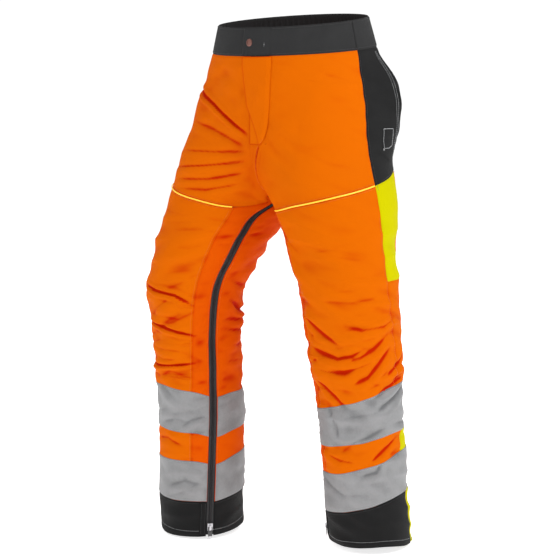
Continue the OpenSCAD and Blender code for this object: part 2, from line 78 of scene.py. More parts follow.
# rows: height, centre x and y, half width, half depth, roll of the ring in x and in y
seat_stations = [[CROTCH + CROTCH_OPEN, 92, 4, 112, half_seat, 0, 0],
                 [-60, 88, 6, 92, half_seat - 4, 0, 0.1],
                 [0, 84, 0, 80, WAIST_D / 2 - 1, 0, RISE]]
stations = {
    1: [[LENGTH, FOOT_OUT + 1, 59, half_hem, half_hem, -0.05, -0.05],
        [KNEE - 180, FOOT_OUT + 8, 17, half_knee - 12, half_knee - 14, 0.04, 0],
        [KNEE, FOOT_OUT + 12, STRIDE * 0.8 - 82, half_knee - 4, half_knee - 7, 0.12, 0.05],
        [KNEE + 100, FOOT_OUT + 4, -22, half_knee + 3, half_knee - 1, 0.06, 0],
        [CROTCH - 90, FOOT_OUT - 15, -22, half_thigh - 14, half_thigh - 18, 0, -0.02],
        [CROTCH, half_thigh, -14, half_thigh, half_thigh + 2, 0, 0]] + seat_stations,
    -1: [[LENGTH, -FOOT_OUT - 17, -88, half_hem, half_hem, 0, 0.08],
         [KNEE - 200, -FOOT_OUT - 13, -89, half_knee - 8, half_knee - 8, 0, 0.08],
         [KNEE, -FOOT_OUT - 18, -11 - STRIDE, half_knee - 5, half_knee - 6, 0, 0.08],
         [KNEE + 100, -FOOT_OUT - 17, -8 - STRIDE, half_knee + 8, half_knee + 5, 0.1, 0],
         [CROTCH - 90, -FOOT_OUT + 8, -66, half_thigh - 3, half_thigh - 5, 0.1, -0.02],
         [CROTCH, -half_thigh, -14, half_thigh, half_thigh + 2, 0, 0]]
        + [[row[0], -row[1]] + row[2:] for row in seat_stations]}
waist_stations = [[CROTCH, HIP_W / 2 + 7, half_seat - 2, 8],
                  [CROTCH + CROTCH_OPEN, HIP_W / 2, half_seat + 6, 8],
                  [-60, WAIST_W / 2 + 13, half_seat - 1, 3], [0, WAIST_W / 2, WAIST_D / 2, 0]]


def smooth(table, v):
    """A smooth curve through the rows of a table, read at the heights v."""
    table = np.asarray(table, float)
    key = table[:, 0]
    gap = np.diff(key)
    slope = np.empty_like(table)
    slope[:2] = (table[1] - table[0]) / gap[0]
    slope[-1] = (table[-1] - table[-2]) / gap[-1]
    slope[2:-1] = (table[3:] - table[1:-2]) / (key[3:] - key[1:-2])[:, None]
    v = np.asarray(v, float)
    i = np.clip(np.searchsorted(key, v, side="right") - 1, 0, len(key) - 2)
    h = gap[i][..., None]
    s = (v - key[i])[..., None] / h
    return ((2 * s ** 3 - 3 * s ** 2 + 1) * table[i] + (s ** 3 - 2 * s ** 2 + s) * h * slope[i]
            + (3 * s ** 2 - 2 * s ** 3) * table[i + 1] + (s ** 3 - s ** 2) * h * slope[i + 1])


def mouth_t(v):
    return 0.60 + 0.042 * np.sin(np.pi * np.clip((-58 - v) / 250, 0, 1))


def form(side, t, v):
    """The smooth hanging shape, before any fold."""
    t, v = np.broadcast_arrays(np.asarray(t, float), np.asarray(v, float))
    k = smooth(stations[side], v)
    cx, cy, ax, ay, roll_x, roll_y = (k[..., n] for n in range(1, 7))
    ax = np.where((v > CROTCH) & (np.cos(2 * np.pi * t) > 0), np.abs(cx), ax)
    ring_x = cx - side * ax * np.cos(2 * np.pi * t)
    ring_y = cy - ay * np.sin(2 * np.pi * t)
    above = np.clip(v - CROTCH, 0, None)
    g = np.sqrt(np.clip(1 - (1 - np.minimum(1, above / CROTCH_OPEN)) ** 2, 0, 1))
    front, back = t < 0.25, t > 0.75
    flat_x = np.where(front, cx * 4 * t, np.where(back, cx * 4 * (1 - t), ring_x))
    flat_y = np.where(front, cy - ay, np.where(back, cy + ay, ring_y))
    r = np.minimum(1, above / -CROTCH)
    h = r * r * (3 - 2 * r)
    w = smooth(waist_stations, np.maximum(v, CROTCH))
    oval_x = side * w[..., 1] * np.sin(np.pi * t)
    oval_y = w[..., 3] - w[..., 2] * np.cos(np.pi * t)
    x = base_x = np.where(v <= CROTCH, ring_x, (ring_x * (1 - g) + flat_x * g) * (1 - h) + oval_x * h)
    y = base_y = np.where(v <= CROTCH, ring_y, (ring_y * (1 - g) + flat_y * g) * (1 - h) + oval_y * h)
    # the pocket mouth stands open, and the right thigh swings forward in the step
    gape = POCKET_GAPE * np.where(t < mouth_t(v), 1, 0.65) \
        * np.exp(-((t - 0.62) / 0.07) ** 2 - ((v + 158) / 75) ** 2)
    x, y = x + side * gape, y + 0.4 * gape
    if side < 0:
        push = THIGH_PUSH * np.exp(-((t - 0.35) / 0.15) ** 2
                                   - ((v + 310) / np.where(v > -310, 160, 110)) ** 2)
        x, y = x - 0.766 * push, y - 0.643 * push
    return np.stack([x, y, v + roll_x * (base_x - cx) + roll_y * (base_y - cy)], -1)


def unit(a):
    return a / np.linalg.norm(a, axis=-1, keepdims=True)


def outward(side, t, v):
    """The direction out of the cloth."""
    t, v = np.broadcast_arrays(np.asarray(t, float), np.asarray(v, float))
    t_in = np.where(v > CROTCH - 1, np.clip(t, 0.008, 0.992), t)
    rim = mouth_t(v)                      # read to one side of the pocket mouth's step
    beside_rim = np.where(t_in < rim, rim - 0.003, rim + 0.003)
    t_in = np.where((np.abs(t_in - rim) < 0.003) & (v > CROTCH), beside_rim, t_in)
    v_in = np.minimum(np.where(v > CROTCH - 1, np.maximum(v, CROTCH + 1), v), -2)
    n = side * np.cross(form(side, t_in + 0.002, v_in) - form(side, t_in - 0.002, v_in),
                        form(side, t_in, v_in + 2) - form(side, t_in, v_in - 2))
    middle = (v > CROTCH - 1) & (np.minimum(t, 1 - t) < 0.004)
    n[..., 0] = np.where(middle, 0, n[..., 0])
    return unit(n)


zip_line = [[LENGTH, 0.101], [LENGTH + 216, 0.091], [KNEE - 60, 0.079], [KNEE + 40, 0.074],
            [KNEE + 140, 0.067], [CROTCH - 80, 0.069], [CROTCH - 30, 0.072], [CROTCH + 15, 0.004]]


def zip_t(v):
    return smooth(zip_line, np.minimum(v, CROTCH + 15))[..., 1]


# Creases as (points of (t, v), width, depth in mm). Each is a narrow valley with a fuller roll of
# cloth along its lower side and a flatter one along its upper side.
creases = {-1: [
    # drag lines that run from the hip and the outer thigh to the foot of the fly
    ([(0.40, -124), (0.314, -139), (0.207, -164), (0.086, -204), (0.0, -228)], 6, 5.6),
    ([(0.34, -196), (0.22, -214), (0.10, -238), (0.02, -252)], 9, 2.2),
    ([(0.36, -262), (0.30, -262), (0.20, -262), (0.008, -258)], 6, 2.2),
    ([(0.37, -298), (0.30, -294), (0.139, -284), (0.02, -276)], 6, 2.8),
    ([(0.34, -320), (0.214, -316), (0.06, -300)], 6, 2.4),
    ([(0.32, -338), (0.22, -338), (0.09, -322)], 6, 2.0),
    # tucks sewn over the knee
    ([(0.37, -530), (0.284, -545), (0.206, -554), (0.142, -574)], 4.2, 5.6),
    ([(0.37, -606), (0.283, -614), (0.212, -620), (0.135, -630)], 4.2, 5.6),
    ([(0.38, -696), (0.30, -696), (0.222, -691), (0.142, -687)], 4.2, 5.6),
    ([(0.36, -590), (0.27, -592), (0.18, -600)], 7, 1.8),
    ([(0.38, -655), (0.27, -660), (0.17, -660)], 7, 1.8),
    # the hollow of the knee, with folds that fan out from it
    ([(0.74, -600), (0.86, -602), (0.93, -596), (1.01, -572)], 7, 7.5),
    ([(0.76, -622), (0.88, -616), (0.96, -612), (1.03, -604)], 5, 3.0),
    ([(0.80, -640), (0.93, -636), (1.02, -626)], 5, 2.6),
    ([(0.84, -668), (0.95, -664), (1.02, -656)], 6, 2.2),
    ([(0.88, -548), (0.96, -546), (1.02, -536)], 6, 1.8),
    ([(0.90, -700), (0.98, -694), (1.04, -690)], 6, 1.6),
    # soft breaks in the bands and the shin
    ([(0.17, -812), (0.24, -806), (0.31, -818)], 8, 2.2),
    ([(0.10, -796), (0.17, -806), (0.22, -826)], 7, 1.6),
    ([(0.20, -862), (0.28, -850), (0.36, -856)], 8, 2.4),
    ([(0.12, -944), (0.20, -936), (0.27, -950)], 8, 1.8),
], 1: [
    # a zigzag of soft folds under the knee
    ([(0.15, -570), (0.20, -586), (0.25, -606), (0.31, -628)], 8, 4.6),
    ([(0.17, -628), (0.23, -642), (0.29, -653), (0.34, -650), (0.39, -636)], 8, 5.4),
    ([(0.33, -590), (0.38, -600), (0.46, -598), (0.52, -586)], 8, 3.6),
    ([(0.31, -664), (0.37, -654), (0.42, -640), (0.47, -618)], 8, 4.2),
    ([(0.33, -708), (0.39, -696), (0.44, -668), (0.48, -644)], 8, 5.0),
    ([(0.19, -668), (0.25, -678), (0.31, -682), (0.37, -672)], 8, 3.6),
    ([(0.17, -694), (0.22, -712), (0.26, -732), (0.30, -758)], 8, 5.0),
    ([(0.40, -742), (0.46, -726), (0.52, -716), (0.60, -708)], 8, 4.8),
    ([(0.41, -768), (0.48, -752), (0.56, -734), (0.63, -722)], 8, 4.6),
    ([(0.46, -700), (0.52, -684), (0.58, -662)], 8, 4.0),
    ([(0.22, -752), (0.25, -790), (0.26, -828)], 8, 2.6),
    ([(0.30, -832), (0.37, -820), (0.45, -800)], 8, 2.8),
    ([(0.37, -872), (0.43, -850), (0.50, -826)], 7, 3.6),
    ([(0.19, -858), (0.26, -870), (0.33, -872)], 7, 2.6),
    ([(0.34, -900), (0.40, -892), (0.42, -868)], 7, 3.0),
    ([(0.18, -932), (0.27, -944), (0.35, -940)], 9, 1.6),
    ([(0.24, -540), (0.36, -545), (0.47, -536)], 9, 1.6),
    ([(0.02, -620), (0.08, -632), (0.15, -624)], 8, 3.0),
    ([(-0.02, -676), (0.06, -690), (0.14, -680)], 8, 3.0),
    # the pocket's open mouth, and the seam that runs back from its lower corner
    ([(0.583, -60), (0.602, -106), (0.604, -150), (0.604, -175), (0.619, -266)], 3, 3.4),
    ([(0.497, -256), (0.530, -265), (0.565, -278)], 3, 1.6),
    # the centre seam, from the foot of the fly to the crotch
    ([(0.056, -240), (0.032, -275), (0.006, -335)], 3.4, 3.0),
    # the hollow of the knee
    ([(0.68, -604), (0.80, -606), (0.92, -600)], 9, 6.0),
    ([(0.66, -644), (0.78, -640), (0.90, -646)], 9, 5.0),
    ([(0.70, -684), (0.82, -676), (0.93, -680)], 9, 4.0),
]}
rng = np.random.default_rng(7)
for side in (1, -1):
    # loose folds down the back of the calf, then under the seat and across it
    for _ in range(16):
        at_t, at_v = rng.uniform(0.56, 0.92), rng.uniform(-960, -640)
        lean, reach = rng.uniform(-26, 26), rng.uniform(0.05, 0.12)
        creases[side].append(([(at_t - reach, at_v - lean), (at_t, at_v - 5), (at_t + reach, at_v + lean)],
                              rng.uniform(7, 10), rng.uniform(2.0, 4.2)))
    # fine drag wrinkles over the fronts
    for low, high, number, deep in ((-330, -84, 7, 0.35), (-560, -380, 14, 0.6), (-740, -560, 16, 1.0),
                                    (-960, -740, 12, 0.9)):
        for _ in range(number):
            at_t, at_v = rng.uniform(0.10, 0.46), rng.uniform(low, high)
            lean, reach = rng.uniform(-22, 22), rng.uniform(0.04, 0.11)
            bow, width, depth = rng.uniform(-5, 5), rng.uniform(6, 10), deep * rng.uniform(0.7, 1.4)
            creases[side].append(([(at_t - reach, at_v - lean), (at_t, at_v + bow),
                                   (at_t + reach, at_v + lean)], width, depth))
    for lift in (-388, -420, -462, -500):
        creases[side].append(([(0.66, lift - 30), (0.80, lift - 6), (0.94, lift + 6)], 10, 3.0))
    for lift, reach in ((-300, 0.62), (-325, 0.66), (-270, 0.70)):
        creases[side].append(([(reach, lift - 8), (0.85, lift + 4), (0.985, lift - 14)], 10, 2.6))

GIRTH = 580.0                             # mm of cloth in one turn of t, near enough for every fold


def fold_height(side, t, v):
    """How far the creases lift (+) or sink (-) the cloth, in mm."""
    flat_t, flat_v = np.ravel(t), np.ravel(v)
    total = np.zeros(flat_t.shape)
    for points, width, depth in creases[side]:
        pts = np.array(points)
        reach = 4.5 * width
        for turn in (-1, 0, 1):
            path = (pts + [turn, 0]) * [GIRTH, 1]
            near = ((flat_t * GIRTH > path[:, 0].min() - reach) & (flat_t * GIRTH < path[:, 0].max() + reach)
                    & (flat_v > path[:, 1].min() - reach) & (flat_v < path[:, 1].max() + reach))
            if not near.any():
                continue
            here = np.stack([flat_t[near] * GIRTH, flat_v[near]], -1)
            step = np.diff(path, axis=0)
            span = np.linalg.norm(step, axis=1)
            start = np.concatenate([[0], np.cumsum(span)])
            best = np.full(len(here), 1e9)
            signed, along = np.zeros(len(here)), np.zeros(len(here))
            for a, d, length, run in zip(path[:-1], step, span, start):
                s = np.clip(((here - a) @ d) / length ** 2, 0, 1)
                off = here - a - s[:, None] * d
                away = np.linalg.norm(off, axis=1)
                closer = away < best
                best = np.where(closer, away, best)
                up = np.sign(d[0]) if d[0] else 1.0
                signed = np.where(closer, away * np.sign((d[0] * off[:, 1] - d[1] * off[:, 0]) * up), signed)
                along = np.where(closer, (run + s * length) / start[-1], along)
            fade = np.clip(np.minimum(along, 1 - along) * 4, 0, 1)
            fade = 0.15 + 0.85 * fade * fade * (3 - 2 * fade)
            q = signed / width
            shape = (-0.72 * np.exp(-np.abs(q / 0.5) ** 1.4) - 0.36 * np.exp(-(q / 1.05) ** 2)
                     + 0.62 * np.exp(-((q + 1.55) / 1.0) ** 2) + 0.34 * np.exp(-((q - 1.5) / 1.1) ** 2))
            ends = np.where(np.minimum(along, 1 - along) < 1e-6, np.exp(-(best / (1.3 * width)) ** 2), 1)
            total[near] += depth * fade * shape * ends
    return total.reshape(np.shape(t))


def rumple(side, t, v, turns, rise, seed, count=14):
    """Random soft waves of the cloth, about +-1, that close up round the leg."""
    draw = np.random.default_rng(seed * 10 + side)
    total = np.zeros(np.shape(t))
    for _ in range(count):
        n = draw.integers(-turns, turns + 1)
        k = draw.uniform(0.45, 1.0) * 2 * np.pi / rise
        total += np.sin(2 * np.pi * n * t + k * v + draw.uniform(0, 2 * np.pi))
    return total / math.sqrt(count / 2)


def relief(side, t, v):
    """Everything that the cloth does off its smooth form: creases, soft waves, and puckers at the zip."""
    from_zip = np.abs(t - zip_t(v))
    from_zip = np.minimum(from_zip, 1 - from_zip) * GIRTH
    leg = np.clip((CROTCH - 10 - v) / 30, 0, 1)
    lower = np.clip((v + 872) / 50, 0, 1)         # 0 where the chain is straight for its slider
    free = np.clip((from_zip - 10) / 22, 0, 1)
    free = free * free * (3 - 2 * free)
    keep = (1 - leg) + leg * (free + 0.3 * lower * (1 - free))
    keep = keep * np.clip((-v - 58) / 26, 0, 1)
    centre = np.minimum(np.abs(t), np.abs(1 - t)) * 540
    keep = keep * (leg + (1 - leg) * np.clip(centre / 22, 0, 1))
    keep = keep * np.clip((np.hypot(centre, v - CROTCH) - 16) / 26, 0, 1)
    busy = np.exp(-((v - KNEE) / 130) ** 2)
    waves = (rumple(side, t, v, 5, 90, 1) * (1.0 + 1.2 * busy)
             + rumple(side, t, v, 9, 34, 2) * (0.34 + 0.5 * busy))
    ridged = 1 - np.abs(rumple(side, t, v, 4, 62, 4))
    waves = waves + 1.5 * ridged * np.clip((-v - 330) / 120, 0.25, 1)
    pucker = rumple(side, t * 0 + 0.3, v, 0, 15, 3, 8) * leg * np.exp(-(from_zip / 30) ** 2) * (from_zip > 8)
    pucker = pucker * np.clip((from_zip - 8) / 6, 0, 1)
    return (fold_height(side, t, v) + waves + 0.9 * pucker * (0.35 + 0.65 * lower)) * keep

# ---- Front panels of the upper --------------------------------------------------------------
# Fluorescent orange polyester-cotton, one panel a side from the waistband to the piping. The
# panels meet in the fly and the crotch seam, and every seam is turned in, so its edges dip.
MM = 0.001
SHELL = 0.8                               # thickness of the outer cloth, mm
SEAM = 0.0001                             # half of a seam's gap, in turns
SEAM_MM = 0.05


class Wire:
    """One socket of a material's nodes. Arithmetic on it adds Math nodes."""

    def __init__(self, tree, socket=None):
        self.tree, self.socket = tree, socket

    def node(self, kind, settings=(), sockets=(), output=0):
        made = self.tree.nodes.new(kind)
        for name, value in dict(settings).items():
            if name == "stops":
                ramp = made.color_ramp.elements
                while len(ramp) < len(value):
                    ramp.new(0.5)
                for stop, (place, tone) in zip(ramp, value):
                    stop.position = place
                    stop.color = (*tone, 1) if len(tone) == 3 else tone
            else:
                setattr(made, name, value)
        for name, value in dict(sockets).items():
            if isinstance(value, Wire):
                self.tree.links.new(value.socket, made.inputs[name])
            else:
                made.inputs[name].default_value = value
        return Wire(self.tree, made.outputs[output])

    def math(self, operation, *values):
        return self.node("ShaderNodeMath", {"operation": operation}, enumerate(values))

    def __add__(self, other):
        return self.math("ADD", self, other)

    def __sub__(self, other):
        return self.math("SUBTRACT", self, other)

    def __rsub__(self, other):
        return self.math("SUBTRACT", other, self)

    def __mul__(self, other):
        return self.math("MULTIPLY", self, other)

    def __truediv__(self, other):
        return self.math("DIVIDE", self, other)

    def __pow__(self, other):
        return self.math("POWER", self, other)

    __radd__, __rmul__ = __add__, __mul__

    def sin(self):
        return self.math("SINE", self)

    def size(self):
        return self.math("ABSOLUTE", self)

    def between(self, low, high):
        """0 below low, 1 above high, and a smooth rise between."""
        return self.node("ShaderNodeMapRange", {"interpolation_type": "SMOOTHSTEP"},
                         {0: self, 1: low, 2: high})

    def blend(self, a, b):
        """Colour a where this is 0, colour b where it is 1."""
        return self.node("ShaderNodeMix", {"data_type": "RGBA"}, {0: self, 6: a, 7: b}, 2)


def dye(red, green, blue):
    """A colour socket's value from its linear parts."""
    return (red, green, blue, 1.0)


def new_finish(name):
    """A material, its Principled shader and a wire that starts its nodes."""
    made = bpy.data.materials.new(name)
    made.use_nodes = True
    return made, made.node_tree.nodes["Principled BSDF"], Wire(made.node_tree)


def feed(shader, wire, **sockets):
    """Sets or links the shader's sockets: an underscore in a name stands for a space."""
    for name, value in sockets.items():
        socket = shader.inputs[name.replace("_", " ")]
        if isinstance(value, Wire):
            wire.tree.links.new(value.socket, socket)
        else:
            socket.default_value = value


def cloth_place(wire):
    """Where a point lies on the flat cloth, across and along, in mm."""
    flat = wire.node("ShaderNodeUVMap", {"uv_map": "cloth"})
    parts = wire.tree.nodes.new("ShaderNodeSeparateXYZ")
    wire.tree.links.new(flat.socket, parts.inputs[0])
    return flat, Wire(wire.tree, parts.outputs[0]) * 1000, Wire(wire.tree, parts.outputs[1]) * 1000


def speckle(wire, place, scale, detail=3.0, rough=0.6):
    return wire.node("ShaderNodeTexNoise", {}, {"Vector": place, "Scale": scale, "Detail": detail,
                                                "Roughness": rough})


def bump(wire, height, distance, strength=1.0):
    return wire.node("ShaderNodeBump", {}, {"Height": height, "Distance": distance, "Strength": strength})


def fluorescent_cloth(name, lit, deep, glow, shaded_glow):
    """Bright dyed cloth in a fine plain weave, with a painted glow, and painted shade that turns it deeper in
    its folds and along its turned edges.
    """
    made, shader, wire = new_finish(name)
    flat, x, y = cloth_place(wire)
    valley = wire.node("ShaderNodeAttribute", {"attribute_name": "valley"}, output=2)
    cloudy = speckle(wire, flat, 14, 4)
    fibre = speckle(wire, flat, 900, 2)
    # the tone is a random mottle plus painted shade in the folds and along the turned edges; lit is the lit
    # colour and deep its painted shaded copy
    tone = (valley * 0.72 + cloudy * 0.24 - 0.12).between(0, 1)
    grain = (fibre - 0.5) * 0.25 + 0.5
    weave = (x * (math.pi / 0.55)).sin() * (y * (math.pi / 0.55)).sin()
    colour = tone.blend(lit, deep)
    # the emission is a painted glow, dimmer in the painted shade, that the cloth gives off under any lamp
    feed(shader, wire, Base_Color=(grain * 0.3).blend(colour, deep), Roughness=0.62 + 0.2 * fibre,
         Emission_Color=tone.blend(glow, shaded_glow),
         Emission_Strength=1.0, Specular_IOR_Level=0.02,
         Normal=bump(wire, weave * 0.35 + fibre * 0.5 + cloudy * 1.2, 0.00025, 0.6))
    return made


bright_orange = fluorescent_cloth("bright_orange", dye(0.50, 0.120, 0.0), dye(0.36, 0.012, 0.0),
                                  dye(0.19, 0.014, 0.0), dye(0.13, 0.003, 0.0))
# the inner strips' redder orange is partly a different cloth and partly painted shade of strips that face
# away from the light
inside_orange = fluorescent_cloth("inside_orange", dye(0.50, 0.084, 0.0), dye(0.36, 0.010, 0.0),
                                  dye(0.19, 0.009, 0.0), dye(0.13, 0.003, 0.0))


def cut_steps(length, step, hems=(0.9, 2.4)):
    """Places along a cut edge from 0 to 1: close together at its ends, where the seams turn in."""
    length = max(length, 4 * hems[1])
    near = [h / length for h in hems]
    count = max(2, round(length * (1 - 2 * near[1]) / step))
    return np.concatenate([[0, near[0]], np.linspace(near[1], 1 - near[1], count + 1), [1 - near[0], 1]])


def cut(left, right, bottom, top, step=(6.0, 3.2)):
    """Cuts a panel between the seam lines left(v), right(v), bottom(t) and top(t). It gives the grids of
    t and v, and the distance to the nearest edge in mm."""
    mid_v = 0.5 * (np.mean(bottom(np.array([0.3]))) + np.mean(top(np.array([0.3]))))
    a, b = float(left(np.array([mid_v]))[0]), float(right(np.array([mid_v]))[0])
    middle = np.array([0.5 * (a + b)])
    tall = float(top(middle)[0] - bottom(middle)[0])
    u = cut_steps((b - a) * GIRTH, step[0])[None, :]
    w = cut_steps(tall, step[1])[:, None]
    t = a + (b - a) * (u + 0 * w)
    for _ in range(6):
        v = bottom(t) * (1 - w) + top(t) * w
        t = left(v) * (1 - u) + right(v) * u
    v = bottom(t) * (1 - w) + top(t) * w
    wide = (right(v) - left(v)) * GIRTH
    high = top(t) - bottom(t)
    edge = np.minimum(np.minimum(u, 1 - u) * wide, np.minimum(w, 1 - w) * high)
    return t, v, edge


def mesh_piece(name, points, faces, places=None, valley=None, material=None, angle=0.9):
    """A mesh object with its flat cloth places as a UV map and its painted shade as an attribute."""
    shape = bpy.data.meshes.new(name)
    faces = np.asarray(faces)
    points = np.asarray(points)
    shape.vertices.add(len(points))
    shape.vertices.foreach_set("co", points.astype(np.float32).ravel())
    sides = faces.shape[1]
    shape.loops.add(faces.size)
    shape.loops.foreach_set("vertex_index", faces.ravel().astype(np.int32))
    shape.polygons.add(len(faces))
    shape.polygons.foreach_set("loop_start", np.arange(0, faces.size, sides, dtype=np.int32))
    shape.update(calc_edges=True)
    shape.validate()
    if places is not None:
        layer = shape.uv_layers.new(name="cloth")
        layer.data.foreach_set("uv", np.asarray(places, np.float32)[faces.ravel()].ravel())
    if valley is not None:
        mark = shape.attributes.new("valley", "FLOAT", "POINT")
        mark.data.foreach_set("value", np.asarray(valley, np.float32))
    shape.shade_smooth()
    shape.set_sharp_from_angle(angle=angle)
    piece = bpy.data.objects.new(name, shape)
    bpy.context.scene.collection.objects.link(piece)
    if material is not None:
        shape.materials.append(material)
    return piece


def layer_faces(rows, columns, flip):
    """Faces of a closed sheet of two equal grids, outer then inner, with its rim."""
    i, j = np.meshgrid(np.arange(rows - 1), np.arange(columns - 1), indexing="ij")
    a = (i * columns + j).ravel()
    outer = np.stack([a, a + 1, a + columns + 1, a + columns], 1)
    inner = outer[:, ::-1] + rows * columns
    around = np.concatenate([np.arange(columns), np.arange(1, rows) * columns + columns - 1,
                             (rows - 1) * columns + np.arange(columns - 2, -1, -1),
                             np.arange(rows - 2, 0, -1) * columns])
    ahead = np.roll(around, -1)
    rim = np.stack([ahead, around, around + rows * columns, ahead + rows * columns], 1)
    faces = np.concatenate([outer, inner, rim])
    return faces[:, ::-1] if flip else faces


def surroundings(side, t, v, up, across):
    """The mean relief of four places round one: up mm above and below, across mm to either side."""
    return (relief(side, t, v + up) + relief(side, t, v - up)
            + relief(side, t + across / GIRTH, v) + relief(side, t - across / GIRTH, v)) / 4


def sew(name, side, grid, lift, thick, material, stands_for=(), dip=1.1, plump=0.0, extra=0.0,
        body="garment"):
    """Makes a cut panel of cloth: the outer face at lift + thick above the garment's middle, the edges
    turned down by dip, the middle plumped up, and small puckers along the stitching."""
    t, v, edge = grid
    rest, out = form(side, t, v), outward(side, t, v)
    height = relief(side, t, v) + extra
    # below the fly the front's middle seam lies hidden under the left side's facing
    joined = np.where((np.abs(t) * 540 < 8) & (v > CROTCH + 8) & (v < FLY_FOOT), 0.1, 1.0)
    turned = dip * joined * np.exp(-(edge / 2.2) ** 2)
    full = plump * (1 - np.exp(-(edge / 22) ** 2)) * np.clip((v + 760) / 60, 0, 1)
    gather = 0.3 * np.sin((t * GIRTH + v) * 2 * np.pi / 9.0 + 3 * rumple(side, t, v, 6, 60, 5)) \
        * np.exp(-(edge / 7) ** 2) * (1 - np.exp(-(edge / 1.2) ** 2)) * (1 if dip else 0)
    middle = height + lift - turned + full + gather
    outer = (rest + out * (middle + thick)[..., None]) * MM
    inner = (rest + out * middle[..., None]) * MM
    rows, columns = t.shape
    # painted shade: the colour is darkened where the cloth lies lower than its surroundings, or is turned
    # into a seam
    here = relief(side, t, v)
    wide, near, fine = (surroundings(side, t, v, *gaps) - here for gaps in ((20, 22), (7, 9), (3, 3)))
    painted_shade_depth = (np.clip(wide / 8, 0, 0.5) + np.clip(near / 3.2, 0, 1) + np.clip((fine - 0.1) / 1.4, 0, 0.5)
              + 0.35 * joined * np.exp(-(edge / 3) ** 2))
    # deeper shade where the cloth turns in: round the foot of the fly, the crotch and the insides of the legs
    inside = np.minimum(np.abs(t), np.abs(1 - t)) * GIRTH
    painted_shade_depth = painted_shade_depth + 0.42 * np.exp(-(inside / 75) ** 2) * np.exp(-((v + 300) / 120) ** 2)
    painted_shade_depth = painted_shade_depth + 0.22 * np.exp(-(inside / 80) ** 2) * np.clip((-v - 360) / 80, 0, 1)
    # painted shade over the right hip
    if side < 0:
        painted_shade_depth = painted_shade_depth + 0.3 * np.exp(-((t - 0.30) / 0.09) ** 2 - ((v + 150) / 70) ** 2)
    places = np.stack([t * GIRTH, v], -1).reshape(-1, 2) * MM
    piece = mesh_piece(name, np.concatenate([outer.reshape(-1, 3), inner.reshape(-1, 3)]),
                       layer_faces(rows, columns, side < 0), np.concatenate([places, places]),
                       np.concatenate([painted_shade_depth.ravel(), painted_shade_depth.ravel()]), material)
    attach(piece, body)
    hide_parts(*stands_for)
    diagonals = outer[1:, 1:] - outer[:-1, :-1], outer[1:, :-1] - outer[:-1, 1:]
    area = float(np.sum(np.linalg.norm(np.cross(*diagonals), axis=-1)) / 2)
    return piece, area


def level(value):
    return lambda at: value + 0 * at


side_name = {1: "left", -1: "right"}
WAISTBAND = 58
JOIN_UP, JOIN_LOW = -508, -780
seam_line = [[LENGTH, 0.170], [KNEE - 250, 0.172], [KNEE - 20, 0.152], [KNEE + 108, 0.138],
             [CROTCH - 62, 0.142], [CROTCH - 10, 0.147]]
piping_line = [[0, CROTCH + 18], [0.05, CROTCH + 2], [0.147, CROTCH - 12], [0.25, CROTCH + 2],
               [0.37, CROTCH + 22], [0.475, CROTCH + 40]]
side_line = [[LENGTH, 0.572], [LENGTH + 104, 0.543], [JOIN_LOW - 10, 0.528], [JOIN_UP, 0.497],
             [CROTCH + 38, 0.475], [0, 0.452]]
seat_line = [[0.475, CROTCH + 40], [0.61, CROTCH + 64], [0.75, CROTCH + 15], [0.88, CROTCH - 1],
             [0.95, CROTCH + 4], [1, CROTCH + 20]]
FLY_FOOT = -242


def seam_t(v):
    return smooth(seam_line, np.minimum(v, CROTCH - 10))[..., 1]


def piping_v(t):
    return smooth(piping_line, np.clip(t, 0, 0.475))[..., 1]


def side_t(v):
    return smooth(side_line, v)[..., 1]


def seat_v(t):
    return smooth(seat_line, np.clip(t, 0.475, 1))[..., 1]


def fly_t(v):
    return 0.082 * np.sqrt(1 - (1 - np.clip((v - FLY_FOOT) / 60, 0, 1)) ** 2)


def zip_gap(v):
    return 8 / (2 * np.pi * smooth(stations[1], v)[..., 3])


def upper_foot(t):
    """Where the upper's front ends: in the piped seam, which runs on to the head of the zip."""
    return piping_v(t) + np.clip((t - 0.13) / 0.03, 0.1, 1)


def seat_foot(t):
    """Where the seat ends and the backs of the legs begin."""
    level_off = np.clip((t - 0.86) / 0.03, 0, 1)
    return seat_v(t) * (1 - level_off) + (CROTCH - 1 + 6 * np.clip(t - 0.88, 0, 1)) * level_off


for side in (1, -1):
    name = side_name[side] + "_front_upper"
    left = (lambda v: fly_t(v) + SEAM) if side > 0 else level(SEAM)
    grid = cut(left, lambda v: side_t(v) - SEAM, upper_foot, level(-WAISTBAND - SEAM_MM), (3.0, 3.0))
    piece, area = sew("sewn_" + name, side, grid, 0, SHELL, bright_orange, [name], plump=1.2)

# ---- Hip panels and seat --------------------------------------------------------------------
# Charcoal stretch twill over the hips and across the seat, joined to the orange fronts by the side
# seams. The hip pocket's mouth is the edge between the two, and it stands a little open.


def grey(shade, blue=1.0):
    return dye(shade, shade, shade * blue)


def charcoal_twill(name, shade, worn, pitch):
    """Dark twill: diagonal ribs, a faint nap, a paler mottle at random, and painted shade in its folds and
    along its turned edges.
    """
    made, shader, wire = new_finish(name)
    flat, x, y = cloth_place(wire)
    valley = wire.node("ShaderNodeAttribute", {"attribute_name": "valley"}, output=2)
    ribs = ((x + y) * (2 * math.pi / pitch)).sin() * 0.5 + 0.5
    threads = ((x - y) * (2 * math.pi / (pitch * 0.8))).sin() * 0.5 + 0.5
    cloudy, fibre = speckle(wire, flat, 22, 5), speckle(wire, flat, 1100, 2)
    tone = (cloudy * 0.6 + ribs * 0.25 + fibre * 0.35 - 0.3).between(0, 1)
    colour = tone.blend(grey(shade, 1.03), grey(worn, 1.02))
    # painted shade: darker grey in the folds and along the turned edges
    feed(shader, wire, Base_Color=(valley * 0.6).blend(colour, grey(shade * 0.5)),
         Roughness=0.66 + 0.2 * fibre, Sheen_Weight=0.03, Sheen_Roughness=0.4, Specular_IOR_Level=0.14,
         Normal=bump(wire, ribs * 0.8 + threads * 0.3 + fibre * 0.4, 0.0003, 0.6))
    return made


